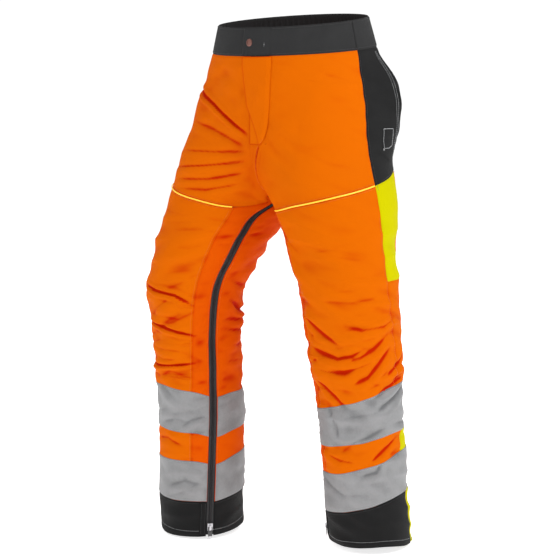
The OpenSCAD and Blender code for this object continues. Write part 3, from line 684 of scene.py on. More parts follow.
stretch_twill = charcoal_twill("stretch_twill", 0.008, 0.016, 1.1)
for side in (1, -1):
    hip, seat = side_name[side] + "_hip_panel", side_name[side] + "_seat_panel"
    grid = cut(lambda v: side_t(v) + SEAM, lambda v: mouth_t(v) - SEAM, lambda t: seat_foot(t) + SEAM_MM,
               level(-WAISTBAND - SEAM_MM), (4.5, 4.5))
    piece, area = sew("sewn_" + hip, side, grid, 0, SHELL, stretch_twill, [hip], plump=0.6)
    grid = cut(lambda v: mouth_t(v) + SEAM, level(1 - SEAM), lambda t: seat_foot(t) + SEAM_MM,
               level(-WAISTBAND - SEAM_MM), (6.0, 4.5))
    piece, area = sew("sewn_" + seat, side, grid, 0, SHELL, stretch_twill, [seat],
                      plump=1.2)

# ---- Leg panels -----------------------------------------------------------------------------
# The same orange cloth below the piping, over the cut-protection inlay: a wide front, two narrow
# strips either side of the inside-leg zip, and the back of the leg.
thread_shade = {"orange": (0.80, 0.16, 0.01), "grey": (0.42, 0.43, 0.44), "dark": (0.05, 0.05, 0.052),
                "gold": (0.85, 0.55, 0.03), "silver": (0.50, 0.50, 0.51)}


def thread(name):
    """Spun sewing thread, with a twist along each stitch."""
    made, shader, wire = new_finish(name + "_thread")
    place = wire.node("ShaderNodeTexCoord", output=3)
    twist = wire.node("ShaderNodeTexWave", {"bands_direction": "DIAGONAL"},
                      {"Vector": place, "Scale": 900.0, "Distortion": 1.0})
    shade = thread_shade[name]
    feed(shader, wire, Base_Color=(twist * 0.5).blend(dye(*shade), dye(*(c * 0.6 for c in shade))),
         Roughness=0.5 + 0.15 * twist, Sheen_Weight=0.1,
         Normal=bump(wire, twist, 0.0001, 0.6))
    return made


threads = {shade: thread(shade) for shade in thread_shade}
stitch_rows = {}                          # all stitches of one leg and thread go into one piece


def on_cloth(side, t, v, lift):
    """Points on the folded cloth, lifted off its middle, in metres."""
    t, v = np.broadcast_arrays(np.asarray(t, float), np.asarray(v, float))
    return (form(side, t, v) + outward(side, t, v) * (relief(side, t, v) + lift)[..., None]) * MM


def stitch(side, t, v, lift, shade, length=2.6, gap=1.2, thick=0.55, body="garment"):
    """Sews a row of stitches along a line of (t, v) on the cloth, at a height off its middle."""
    line = on_cloth(side, t, v, lift) / MM
    out = outward(side, np.broadcast_to(t, np.shape(v)) if np.ndim(t) == 0 else t,
                  np.broadcast_to(v, np.shape(t)) if np.ndim(v) == 0 else v)
    run = np.concatenate([[0], np.cumsum(np.linalg.norm(np.diff(line, axis=0), axis=1))])
    count = int((run[-1] - length) // (length + gap))
    if count < 1:
        return
    begin = (np.arange(count) + 0.5) * run[-1] / count - length / 2
    sections, rounds = np.array([0, 0.12, 0.5, 0.88, 1.0]), 6
    along = begin[:, None] + sections * length
    spot = np.stack([np.interp(along, run, line[:, n]) for n in range(3)], -1)
    up = unit(np.stack([np.interp(along, run, out[:, n]) for n in range(3)], -1))
    ahead = unit(spot[:, -1:] - spot[:, :1])
    across = unit(np.cross(np.broadcast_to(ahead, up.shape), up))
    swell = np.array([0.35, 0.85, 1.0, 0.85, 0.35])[None, :, None, None] * thick / 2
    sink = np.array([-0.45, -0.1, 0.08, -0.1, -0.45])[None, :, None, None] * thick
    turn = np.linspace(0, 2 * np.pi, rounds, endpoint=False)
    ring = (spot[:, :, None] + across[:, :, None] * (np.cos(turn)[None, None, :, None] * swell)
            + up[:, :, None] * (np.sin(turn)[None, None, :, None] * swell * 0.8 + sink))
    i, j, k = np.meshgrid(np.arange(count), np.arange(len(sections) - 1), np.arange(rounds), indexing="ij")
    base = (i * len(sections) + j) * rounds
    nxt = (k + 1) % rounds
    faces = np.stack([base + k, base + nxt, base + rounds + nxt, base + rounds + k], -1).reshape(-1, 4)
    for j_end, order in ((0, (0, 5, 4, 3, 2, 1)), (len(sections) - 1, (0, 1, 2, 3, 4, 5))):
        start = (np.arange(count) * len(sections) + j_end) * rounds
        for half in ((0, 1, 2, 3), (0, 3, 4, 5)):
            faces = np.concatenate([faces, np.stack([start + order[n] for n in half], -1)])
    stitch_rows.setdefault((side, shade, body), []).append((ring.reshape(-1, 3) * MM, faces))


def beside(t, v, apart):
    """The same line of (t, v), moved apart mm to its left as it runs."""
    t, v = np.broadcast_arrays(np.asarray(t, float), np.asarray(v, float))
    d = unit(np.stack([np.gradient(t) * GIRTH, np.gradient(v)], -1))
    return t - d[:, 1] * apart / GIRTH, v + d[:, 0] * apart


def cuff_top(side, t):
    dip = 10 * np.exp(-(np.minimum(np.abs(t - 0.08), np.abs(t - 1.08)) / 0.05) ** 2)
    return (-964 - 29 * np.cos(2 * np.pi * (t - 0.12))) if side > 0 else (-979 - 0.4 * dip)


for side in (1, -1):
    begin = side_name[side]
    foot = lambda t, side=side: cuff_top(side, t) + SEAM_MM
    panels = {
        "front_leg": cut(lambda v: seam_t(v) + SEAM, lambda v: side_t(v) - SEAM, foot,
                         lambda t: piping_v(t) - 1, (3.0, 2.6)),
        "inner_front": cut(lambda v: zip_t(v) + zip_gap(v), lambda v: seam_t(v) - SEAM, foot,
                           lambda t: piping_v(t) - np.clip((t - 0.13) / 0.03, 0.1, 1), (4.0, 3.2)),
        "inner_back": cut(level(-0.12 + SEAM), lambda v: zip_t(v) - zip_gap(v), foot,
                          lambda t: np.where(t < 0, seat_foot(1 + np.minimum(t, 0)), CROTCH - 0.3) - SEAM_MM,
                          (5.0, 3.2)),
        "back_leg": cut(level(0.60 + SEAM), level(0.88 - SEAM), foot, lambda t: seat_foot(t) - SEAM_MM,
                        (5.5, 3.2)),
        "side_mid": cut(lambda v: side_t(v) + SEAM, level(0.60 - SEAM), level(JOIN_LOW + SEAM_MM),
                        level(JOIN_UP - SEAM_MM), (5.0, 3.2))}
    for part, grid in panels.items():
        node = begin + "_" + part
        strip = part.startswith("inner")
        piece, area = sew("sewn_" + node, side, grid, 0, SHELL, inside_orange if strip else bright_orange,
                          [node], plump=0.8 if strip else 1.6)
    # seams topstitched beside the turned edges
    down = np.linspace(CROTCH - 20, -970, 260)
    stitch(side, *beside(seam_t(down), down, 3.5), SHELL + 0.15, "orange")
    stitch(side, *beside(side_t(down), down, -3.5), SHELL + 0.15, "orange")
    stitch(side, *beside(0.88 + 0 * down, down, 3.5), SHELL + 0.15, "orange")
    for edge_side in (1, -1):
        stitch(side, *beside(zip_t(down) + edge_side * zip_gap(down), down, edge_side * 3.0), SHELL + 0.1,
               "orange", 2.2, 1.1, 0.5)

# ---- Coloured side panels -------------------------------------------------------------------
# Fluorescent yellow cloth set into the outer seam, above the knee and down the shin.
bright_yellow = fluorescent_cloth("bright_yellow", dye(0.46, 0.43, 0.0), dye(0.32, 0.27, 0.0),
                                  dye(0.10, 0.10, 0.0), dye(0.08, 0.07, 0.0))
for side in (1, -1):
    for part, foot_v, head_v in (("side_upper", level(JOIN_UP + SEAM_MM), lambda t: seat_v(t) - SEAM_MM),
                                 ("side_lower", level(LENGTH + 2), level(JOIN_LOW - SEAM_MM))):
        node = side_name[side] + "_" + part
        grid = cut(lambda v: side_t(v) + SEAM, level(0.60 - SEAM), foot_v, head_v, (4.0, 3.6))
        piece, area = sew("sewn_" + node, side, grid, 0, SHELL, bright_yellow, [node],
                          plump=0.8)

# ---- Piping across the thighs ---------------------------------------------------------------
# A corded strip of gold reflective tape caught in the seam between upper and leg, from the front
# seam of the leg round to the hip.


def wrap_faces(rows, rounds):
    """Faces between rings of points that follow each other along a tube."""
    i, k = np.meshgrid(np.arange(rows - 1), np.arange(rounds), indexing="ij")
    nxt = (k + 1) % rounds
    return np.stack([i * rounds + k, i * rounds + nxt, (i + 1) * rounds + nxt, (i + 1) * rounds + k],
                    -1).reshape(-1, 4)


def tube_piece(name, paths, radius, rounds, material, body="garment", taper=False):
    """A round cord along each path of points in metres, closed at its ends."""
    points, faces, count = [], [], 0
    for path in paths:
        path = np.asarray(path)
        ahead = unit(np.gradient(path, axis=0))
        up = np.array([0.0, 0.0, 1.0])
        across = unit(np.cross(ahead, up + 1e-4))
        above = np.cross(across, ahead)
        turn = np.linspace(0, 2 * np.pi, rounds, endpoint=False)
        girth = np.full(len(path), radius)
        if taper:
            girth[[0, -1]] = radius * 0.55
        ring = path[:, None] + (across[:, None] * np.cos(turn)[None, :, None]
                                + above[:, None] * np.sin(turn)[None, :, None]) * girth[:, None, None]
        points += [ring.reshape(-1, 3), path[[0, -1]]]
        faces.append(wrap_faces(len(path), rounds)[:, ::-1] + count)
        k = np.arange(0, rounds, 2)
        a, b = (k + 1) % rounds, (k + 2) % rounds
        first, top = len(path) * rounds, (len(path) - 1) * rounds
        faces.append(np.stack([first + 0 * k, k, a, b], -1) + count)
        faces.append(np.stack([first + 1 + 0 * k, top + b, top + a, top + k], -1) + count)
        count += len(path) * rounds + 2
    made = mesh_piece(name, np.concatenate(points), np.concatenate(faces), material=material)
    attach(made, body)
    return made


def piping_finish():
    made, shader, wire = new_finish("gold_piping")
    place = wire.node("ShaderNodeTexCoord", output=3)
    beads = speckle(wire, place, 1400, 2)
    cloudy = speckle(wire, place, 40, 3)
    # the emission is a painted glow, which the piping gives off under any lamp
    feed(shader, wire, Base_Color=(cloudy * 0.5).blend(dye(1.0, 0.62, 0.03), dye(0.9, 0.42, 0.01)),
         Roughness=0.35 + 0.25 * beads, Emission_Color=(cloudy * 0.5).blend(dye(0.22, 0.12, 0.0),
                                                                           dye(0.16, 0.07, 0.0)),
         Emission_Strength=1.0, Coat_Weight=0.3, Coat_Roughness=0.3,
         Normal=bump(wire, beads, 0.0002, 0.5))
    return made


gold_piping = piping_finish()
for side in (1, -1):
    node = side_name[side] + "_thigh_piping"
    t = np.linspace(0.15, 0.47, 130)
    path = on_cloth(side, t, piping_v(t), 2.0)
    piece = tube_piece("corded_" + node, [path], 1.5 * MM, 10, gold_piping)
    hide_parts(node)
    for apart in (4.5, -4.5):
        stitch(side, *beside(t, piping_v(t), apart), SHELL + 0.55, "orange")

# ---- Knee tucks -----------------------------------------------------------------------------
# Three tucks sewn across the front of each knee give it room to bend: a narrow fold of the orange
# cloth.
for side in (1, -1):
    for n, (middle, lean) in enumerate(((-552, 112), (-622, 0), (-692, 0))):
        slope_of = lambda t, lean=lean: lean * (t - 0.14)
        grid = cut(lambda v: seam_t(v) + 0.006, level(0.29), lambda t: middle - 28 + slope_of(t),
                   lambda t: middle - 22 + slope_of(t), (3.0, 1.0))
        piece, area = sew(f"{side_name[side]}_knee_tuck_{n + 1}", side, grid, SHELL + 0.5, 1.2, bright_orange,
                          ["knee_tucks"] if side > 0 and n == 0 else (), dip=1.0)

# ---- Reflective bands -----------------------------------------------------------------------
# Silver retroreflective tape, glass beads on a woven backing, sewn on in one length from one zip
# edge round to the other: two round each shin.


def bead_tape():
    """Grey beaded tape: a fine grain of beads, faint diagonal creases, a random mottle, and painted shade
    near its edges and in its folds.
    """
    made, shader, wire = new_finish("bead_tape")
    flat = cloth_place(wire)[0]
    valley = wire.node("ShaderNodeAttribute", {"attribute_name": "valley"}, output=2)
    beads = wire.node("ShaderNodeTexVoronoi", {}, {"Vector": flat, "Scale": 2600.0})
    cloudy, streak = speckle(wire, flat, 30, 5), speckle(wire, flat, 260, 2)
    # painted shade darkens the tape in its folds and near its turned edges, on top of a random mottle
    tone = (cloudy * 0.7 + streak * 0.3 + valley * 0.5 - 0.25).between(0, 1)
    feed(shader, wire, Base_Color=tone.blend(dye(0.255, 0.256, 0.26), dye(0.13, 0.132, 0.135)), Metallic=0.25,
         Roughness=0.42 + 0.22 * beads + 0.1 * cloudy, Specular_IOR_Level=0.4,
         Normal=bump(wire, beads * 0.4 + streak * 0.5 + cloudy * 2.0, 0.0002, 0.5))
    return made


silver_tape = bead_tape()


def band_edges(side):
    """Upper band's foot and head, then the lower band's foot and head, as heights round the leg."""
    sway = lambda t: np.cos(2 * np.pi * (t - 0.12))
    dip = lambda t: 10 * np.exp(-(np.minimum(np.abs(t - 0.08), np.abs(t - 1.08)) / 0.05) ** 2)
    wave = lambda t: np.sin(2 * np.pi * (t - 0.06))
    if side > 0:
        return ((lambda t: -827 - 19 * sway(t), lambda t: -740 - 22 * sway(t)),
                (lambda t: cuff_top(1, t) + 1, lambda t: -880 - 27 * sway(t)))
    return ((lambda t: -836 + 4 * wave(t) - dip(t), lambda t: -752 + 14 * wave(t) - dip(t)),
            (lambda t: cuff_top(-1, t) + 1, lambda t: -893 - dip(t)))


BAND_LIFT = SHELL + 1.1
for side in (1, -1):
    for part, (low, high) in zip(("band_upper", "band_lower"), band_edges(side)):
        node = side_name[side] + "_" + part
        grid = cut(lambda v: zip_t(v) + zip_gap(v) + 0.0012, lambda v: 1 + zip_t(v) - zip_gap(v) - 0.0012,
                   low, high, (5.0, 2.6))
        piece, area = sew("sewn_" + node, side, grid, BAND_LIFT - 0.5, 0.7, silver_tape,
                          [node], dip=0.5)
        t = np.linspace(zip_t(np.array([-850.0]))[0] + 0.022, 1 + zip_t(np.array([-850.0]))[0] - 0.022, 300)
        for line, inset in ((low, 2.6), (high, -2.6)):
            stitch(side, t, line(t) + inset, BAND_LIFT + 0.35, "silver", 2.4, 1.2, 0.45)

# ---- Cuffs ----------------------------------------------------------------------------------
# Black hard-wearing cloth round the hem, a front and a back piece, hemmed with a grey topstitch.
hard_cloth = charcoal_twill("hard_cloth", 0.006, 0.013, 0.8)


def hem_v(side):
    """The height of the hem round the leg."""
    if side > 0:
        return lambda t: (LENGTH - 6 * np.exp(-((t - 0.19) / 0.10) ** 2)
                          + 7 * np.exp(-((t - 0.42) / 0.08) ** 2))
    return lambda t: LENGTH + 0 * t


for side in (1, -1):
    for part, left, right in (("cuff_front", lambda v: zip_t(v) + zip_gap(v), lambda v: side_t(v) - SEAM),
                              ("cuff_back", level(0.60 + SEAM), lambda v: 1 + zip_t(v) - zip_gap(v))):
        node = side_name[side] + "_" + part
        grid = cut(left, right, hem_v(side), lambda t: cuff_top(side, t) - SEAM_MM, (5.0, 3.4))
        piece, area = sew("sewn_" + node, side, grid, 0, SHELL + 0.4, hard_cloth, [node],
                          dip=0.9)
    for begin, end in ((0.142, 0.562), (0.61, 1.09)):
        t = np.linspace(begin, end, 160)
        stitch(side, t, hem_v(side)(t) + 13, SHELL + 0.5, "grey", 3.0, 1.0, 0.6)
        stitch(side, t, cuff_top(side, t) - 4, SHELL + 0.5, "dark", 2.6, 1.2, 0.5)
    v = np.linspace(LENGTH + 6, LENGTH + 70, 40)
    stitch(side, zip_t(v) + zip_gap(v) + 5 / GIRTH, v, SHELL + 0.5, "grey", 3.0, 1.0, 0.6)

# ---- Cut-protection inlay -------------------------------------------------------------------
# Loose layers of long cut-resistant fibre, quilted into a pad inside the whole leg, stopping short
# of the zip; a knitted mesh lining covers it on the leg's side.


def inlay_finish(name, light, dark, scale):
    made, shader, wire = new_finish(name)
    flat, x, y = cloth_place(wire)
    course, wale = math.pi / scale, 2 * math.pi / scale
    courses = (y * course).sin() * (x * wale + (y * course).sin()).sin()
    fuzz = speckle(wire, flat, 500, 3)
    tone = (courses * 0.3 + fuzz * 0.6 + 0.1).between(0, 1)
    feed(shader, wire, Base_Color=tone.blend(dye(*dark), dye(*light)), Roughness=0.75 + 0.15 * fuzz,
         Sheen_Weight=0.2, Normal=bump(wire, courses * 0.7 + fuzz, 0.0005, 0.7))
    return made


fibre_inlay = inlay_finish("fibre_inlay", (0.70, 0.67, 0.58), (0.42, 0.40, 0.33), 2.0)
knitted_mesh = inlay_finish("knitted_mesh", (0.075, 0.078, 0.085), (0.018, 0.018, 0.02), 1.6)
PAD, LINING = 5.5, 0.7
for side in (1, -1):
    node = side_name[side] + "_cut_pad"
    grid = cut(lambda v: zip_t(v) + 0.035, lambda v: 0.97 + zip_t(v), level(LENGTH + 60), level(CROTCH - 14),
               (9.0, 8.0))
    t, v, edge = grid
    quilt = -0.7 * np.exp(-(np.abs((t * GIRTH / 60) % 1 - 0.5) * 60 / 5) ** 2)
    piece, area = sew("quilted_" + node, side, grid, -3.2 - PAD, PAD - 0.9, fibre_inlay, [node],
                      dip=0.8, extra=quilt)
    node = side_name[side] + "_lining"
    grid = cut(lambda v: zip_t(v) + 0.02, lambda v: 0.985 + zip_t(v), level(LENGTH + 20), level(CROTCH - 12),
               (8.0, 7.0))
    piece, area = sew("sewn_" + node, side, grid, -5.6 - PAD - LINING, LINING, knitted_mesh,
                      [node], dip=0.3)

# ---- Leg zips -------------------------------------------------------------------------------
# A coil zip runs up the inside of each leg from hem to crotch: a woven tape behind the cloth's two
# edges, the coil along its middle, a metal stop at its foot, and a slider that starts above the stop.
zip_start = {side: form(side, zip_t(LENGTH), LENGTH) for side in (1, -1)}
zip_knee = {side: form(side, zip_t(LENGTH + 216), LENGTH + 216) for side in (1, -1)}


def zip_axes(side):
    """The straight lower chain's frame: across, out and up."""
    up = unit(zip_knee[side] - zip_start[side])
    out = outward(side, zip_t(LENGTH), LENGTH) + outward(side, zip_t(LENGTH + 216), LENGTH + 216)
    out = unit(out - (out @ up) * up)
    return np.cross(out, up), out, up


def zip_path(side, head, spacing):
    """Stations up the zip: places, across and out directions, and the run along it in mm."""
    _, out, up = zip_axes(side)
    low = np.linspace(2, 216, 40)
    spots = zip_start[side] + low[:, None] * up
    outs = np.tile(out, (len(low), 1))
    v = np.linspace(LENGTH + 219, head, 150)
    height = relief(side, zip_t(v), v)
    n = outward(side, zip_t(v), v)
    spots = np.concatenate([spots, form(side, zip_t(v), v) + n * height[:, None]])
    ease = np.clip((v - LENGTH - 219) / 30, 0, 1)[:, None]
    outs = np.concatenate([outs, unit(out * (1 - ease) + n * ease)])
    run = np.concatenate([[0], np.cumsum(np.linalg.norm(np.diff(spots, axis=0), axis=1))])
    at = np.arange(0, run[-1], spacing)
    place = np.stack([np.interp(at, run, spots[:, n]) for n in range(3)], -1)
    facing = unit(np.stack([np.interp(at, run, outs[:, n]) for n in range(3)], -1))
    ahead = unit(np.gradient(place, axis=0))
    return place, unit(np.cross(facing, ahead)), facing, at


def ribbon(name, place, across, out, run, profile, material, body="garment"):
    """Sweeps a closed profile of (across, out) in mm along the stations."""
    profile = np.asarray(profile, float)
    ring = place[:, None] + across[:, None] * profile[None, :, :1] + out[:, None] * profile[None, :, 1:]
    rounds, count = len(profile), len(place)
    faces = wrap_faces(count, rounds)
    half = rounds // 2
    caps = []
    for start, flip in ((0, False), ((count - 1) * rounds, True)):
        for n in range(half - 1):
            quad = [start + n, start + n + 1, start + rounds - 2 - n, start + rounds - 1 - n]
            caps.append(quad if flip else quad[::-1])
    faces = np.concatenate([faces, np.array(caps)])
    places = np.stack([np.tile(np.cumsum(np.r_[0, np.linalg.norm(np.diff(profile, axis=0), axis=1)]), count),
                       np.repeat(run, rounds)], -1) * MM
    made = mesh_piece(name, ring.reshape(-1, 3) * MM, faces, places, np.zeros(rounds * count), material)
    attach(made, body)
    return made


def tape_finish():
    made, shader, wire = new_finish("woven_tape")
    flat, x, y = cloth_place(wire)
    rib = (x * (2 * math.pi / 0.9)).sin() * 0.5 + (y * (2 * math.pi / 0.6)).sin() * 0.5
    fuzz = speckle(wire, flat, 700, 2)
    tone = (rib * 0.25 + fuzz * 0.5 + 0.25).between(0, 1)
    feed(shader, wire, Base_Color=tone.blend(dye(0.006, 0.006, 0.0065), dye(0.020, 0.020, 0.021)),
         Roughness=0.6 + 0.2 * fuzz, Sheen_Weight=0.15, Normal=bump(wire, rib + fuzz * 0.5, 0.0003, 0.6))
    return made


def coil_finish():
    made, shader, wire = new_finish("nylon_coil")
    place = wire.node("ShaderNodeTexCoord", output=3)
    fuzz = speckle(wire, place, 300, 2)
    feed(shader, wire, Base_Color=fuzz.blend(dye(0.010, 0.010, 0.011), dye(0.026, 0.026, 0.028)),
         Roughness=0.32 + 0.2 * fuzz, Normal=bump(wire, fuzz, 0.0001, 0.4))
    return made


woven_tape, nylon_coil = tape_finish(), coil_finish()
for side in (1, -1):
    begin = side_name[side]
    place, across, out, run = zip_path(side, CROTCH + 9, 4.0)
    tape = [(-12, -3.0), (-11.6, -3.4), (0, -3.4), (11.6, -3.4), (12, -3.0), (11.6, -2.6), (3.4, -2.6),
            (0, -2.55), (-3.4, -2.6), (-11.6, -2.6)]
    piece = ribbon("woven_" + begin + "_zip_tape", place, across, out, run, tape, woven_tape)
    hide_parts(begin + "_zip_tape")
    # the coil: one rounded loop of monofilament every 1.6 mm, its two halves meeting in the middle
    place, across, out, run = zip_path(side, CROTCH + 8, 1.6)
    keep = run > 11
    place, across, out = place[keep], across[keep], out[keep]
    ahead = np.cross(across, out)
    shape = [(-2.5, 0.0), (-2.0, 0.75), (-0.6, 1.0), (0.0, 0.8), (0.6, 1.0), (2.0, 0.75), (2.5, 0.0)]
    points = []
    for offset, height in shape:
        lean = 0.35 * (1 - abs(offset) / 2.5)
        spot = place + across * offset + out * (-2.2 + 1.05 * height) + ahead * lean
        for along, rise in ((-0.62, -0.25), (0.0, 0.42), (0.62, -0.25), (0.0, -0.35)):
            points.append(spot + ahead * along + out * rise)
    points = np.stack(points, 1).reshape(len(place), len(shape), 4, 3)
    i, j, k = np.meshgrid(np.arange(len(place)), np.arange(len(shape) - 1), np.arange(4), indexing="ij")
    base, nxt = (i * len(shape) + j) * 4, (k + 1) % 4
    faces = np.stack([base + k, base + nxt, base + 4 + nxt, base + 4 + k], -1).reshape(-1, 4)
    start = np.arange(len(place)) * len(shape) * 4
    end = start + (len(shape) - 1) * 4
    faces = np.concatenate([faces, np.stack([start + 3, start + 2, start + 1, start], -1),
                            np.stack([end, end + 1, end + 2, end + 3], -1)])
    piece = mesh_piece("coiled_" + begin + "_zip_chain", points.reshape(-1, 3) * MM, faces,
                       material=nylon_coil)
    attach(piece, "garment")
    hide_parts(begin + "_zip_coil")
    # the tape's two rows of machine stitching show beside the coil
    for offset in (-5.4, 5.4):
        place, across, out, run = zip_path(side, CROTCH - 2, 3.0)
        path = (place + across * offset - out * 2.45)[3:] * MM
        piece = tube_piece(f"{begin}_tape_stitch_{'a' if offset < 0 else 'b'}", [path], 0.28 * MM, 6,
                           threads["dark"])

# ---- Zip guards -----------------------------------------------------------------------------
# A doubled strip of the black cuff cloth beside each zip's foot keeps the slider off the boot.
for side in (1, -1):
    grid = cut(lambda v: zip_t(v) + zip_gap(v) + 0.002, lambda v: zip_t(v) + zip_gap(v) + 0.024,
               level(LENGTH + 3), lambda t: cuff_top(side, t) - 2, (3.0, 4.0))
    piece, area = sew(side_name[side] + "_zip_guard", side, grid, SHELL + 0.7, 1.3, hard_cloth,
                      ["zip_guards"] if side > 0 else (), dip=0.6)
    v = np.linspace(LENGTH + 7, -985, 50)
    for inset in (2.2, 10.6):
        stitch(side, zip_t(v) + zip_gap(v) + 0.002 + inset / GIRTH, v, SHELL + 2.1, "dark", 2.4, 1.2, 0.5)

# ---- Hip pockets ----------------------------------------------------------------------------
# The pocket bag hangs behind the hip panel. The mouth is double-stitched in grey, and a grey
# bartack patch holds its lower corner.
for side in (1, -1):
    grid = cut(level(0.40), lambda v: mouth_t(v) - 0.012, lambda t: -285 + 60 * (0.6 - t), level(-76),
               (7.0, 6.0))
    piece, area = sew(side_name[side] + "_pocket_bag", side, grid, -3.4, 0.6, knitted_mesh,
                      ["pocket_bags"] if side > 0 else (), dip=0.2)
    # the mouth's facing runs from the hip panel's edge back to the seat panel, so the gape isn't a hole
    v = np.linspace(-306, -62, 60)[:, None]
    u = np.linspace(0, 1, 7)[None, :]
    front = form(side, mouth_t(v) - 0.002, v) - outward(side, mouth_t(v) - 0.002, v) * 0.2
    back = form(side, mouth_t(v) + 0.008, v) - outward(side, mouth_t(v) + 0.008, v) * 0.6
    inward = outward(side, mouth_t(v) + 0.008, v) * (4 * np.sin(np.pi * u))[..., None]
    outer = front * (1 - u)[..., None] + back * u[..., None] - inward
    inner = outer - outward(side, mouth_t(v) + 0.008, v) * 0.6
    places = np.stack([(u + 0 * v) * 20, v + 0 * u], -1).reshape(-1, 2) * MM
    # the facing carries an even painted shade, so the pocket's mouth reads dark
    piece = mesh_piece(side_name[side] + "_pocket_facing",
                       np.concatenate([outer.reshape(-1, 3), inner.reshape(-1, 3)]) * MM,
                       layer_faces(*outer.shape[:2], side < 0), np.concatenate([places, places]),
                       np.full(2 * len(places), 0.5), stretch_twill)
    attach(piece, "garment")
    v = np.linspace(-64, -300, 160)
    rim = np.interp(v, [-300, -267, -173, -149, -106, -60], [0.602, 0.603, 0.592, 0.592, 0.590, 0.574])
    for inset in (0.5, 4.5):
        stitch(side, *beside(rim, v, -inset), SHELL + 0.9, "grey", 2.8, 1.0, 0.7)
    v = np.linspace(-62, CROTCH + 30, 200)
    stitch(side, *beside(side_t(v), v, 3.5), SHELL + 0.25, "dark")
    t = np.linspace(0.50, 0.99, 200)
    stitch(side, t, seat_foot(t) + 4, SHELL + 0.3, "dark")
    # a bound corner patch, outlined in grey
    grid = cut(level(0.527), level(0.586), level(-255), level(-211), (3.0, 3.0))
    piece, area = sew(side_name[side] + "_pocket_patch", side, grid, SHELL + 0.5, 0.6, stretch_twill,
                      ["pocket_patches"] if side > 0 else (), dip=0.5)
    corners = [(0.570, -213), (0.577, -246), (0.562, -251), (0.538, -251), (0.533, -236), (0.532, -213),
               (0.570, -213)]
    for (t0, v0), (t1, v1) in zip(corners, corners[1:]):
        stitch(side, np.linspace(t0, t1, 12), np.linspace(v0, v1, 12), SHELL + 1.3, "grey", 2.2, 0.2, 1.3)
    for k in range(4):
        stitch(side, np.linspace(0.528, 0.540, 6), np.full(6, -251.5 - k * 0.9), SHELL + 1.4, "silver", 3.2,
               0.2, 1.0)

# ---- Waistband ------------------------------------------------------------------------------
# Smooth charcoal band, folded double over the waist. The front is plain; the back is gathered over
# wide elastic, so it stands in shallow upright ribs.
belt_cloth = charcoal_twill("belt_cloth", 0.020, 0.034, 0.9)
BELT = 3.0


def band_piece(name, cells, foot, head, lift, thick, material, node, swell=0.0, body="garment",
               ribs=None, begins=True):
    """A strip that may cross the middle front or back: cells are (side, t) along it."""
    sides = np.array([c[0] for c in cells])
    t_row = np.array([c[1] for c in cells])
    rows = cut_steps(head - foot, 3.4, (0.8, 2.2)) if np.isscalar(foot) else None
    v_col = foot + (head - foot) * rows
    t, v = np.meshgrid(t_row, v_col)
    rest, out, height = np.zeros(t.shape + (3,)), np.zeros(t.shape + (3,)), np.zeros(t.shape)
    for side in (1, -1):
        here = sides == side
        if here.any():
            rest[:, here] = form(side, t[:, here], v[:, here])
            out[:, here] = outward(side, t[:, here], v[:, here])
            height[:, here] = relief(side, t[:, here], v[:, here])
    along = np.concatenate([[0], np.cumsum(np.linalg.norm(np.diff(rest[len(rows) // 2], axis=0), axis=1))])
    edge_v = np.minimum(v - foot, head - v)
    edge_u = np.minimum(along if begins else 99, along[-1] - along)[None, :]
    edge = np.minimum(edge_v, edge_u)
    roundness = thick * 0.42 * np.exp(-(edge / 1.1) ** 2)
    elastic = np.clip((t - 0.60) / 0.08, 0, 1)
    wave = 0 if ribs is None else ribs(along[None, :], v) * (1 - np.exp(-(edge_v / 5) ** 2)) * elastic
    full = swell * (1 - np.exp(-(edge / 9) ** 2))
    outer = (rest + out * (height + lift + thick - roundness + full + wave)[..., None]) * MM
    inner = (rest + out * (height + lift + roundness - full * 0.4 + wave * 0.6)[..., None]) * MM
    places = np.stack([np.broadcast_to(along[None, :], t.shape), v], -1).reshape(-1, 2) * MM
    # painted shade along the band's edges and in the troughs of its gathers
    painted_shade_depth = 0.3 * np.exp(-(edge / 2.5) ** 2) - (0 if ribs is None else np.clip(-wave, 0, 1) * -0.6)
    made = mesh_piece(name, np.concatenate([outer.reshape(-1, 3), inner.reshape(-1, 3)]),
                      layer_faces(*t.shape, False), np.concatenate([places, places]),
                      np.concatenate([painted_shade_depth.ravel(), painted_shade_depth.ravel()]), material)
    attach(made, body)
    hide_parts(node)
    return made


def across_front(right, left, step):
    """Cells from t = right on the right side, over the middle, to t = left on the left side."""
    r = np.linspace(right, 0, max(2, round(right * 540 / step)) + 1)
    l = np.linspace(0, left, max(2, round(left * 540 / step)) + 1)[1:]
    return [(-1, q) for q in r] + [(1, q) for q in l]


band_piece("folded_waistband_front_left", [(1, q) for q in np.linspace(0.087, 0.452, 60)], -WAISTBAND, 0,
           SHELL - BELT, BELT, belt_cloth, "waistband_front_left", 0.5, begins=False)
band_piece("folded_waistband_front_right", across_front(0.452, 0.05, 4.0), -WAISTBAND, 0, SHELL - BELT, BELT,
           belt_cloth, "waistband_front_right", 0.5)
rear = [(1, q) for q in np.linspace(0.4535, 1, 220)] + [(-1, q) for q in np.linspace(1, 0.4535, 220)][1:]


def gathers(along, v):
    beat = np.sin(along * 2 * np.pi / 11.5 + 0.9 * np.sin(along / 37.0) + 0.35 * np.sin(v / 9 + along / 21))
    return 0.85 * beat + 0.3 * np.sin(along * 2 * np.pi / 6.3 + v / 13)


band_piece("gathered_waistband_back", rear, -WAISTBAND, 0, SHELL - BELT, BELT, belt_cloth,
           "waistband_back", 0.3, ribs=gathers)
for side in (1, -1):
    t = np.linspace(0.095 if side > 0 else 0.03, 0.99, 260)
    for v in (-3.5, -WAISTBAND + 4):
        stitch(side, t, v + 0 * t, SHELL + 0.6, "dark", 2.6, 1.2, 0.5)

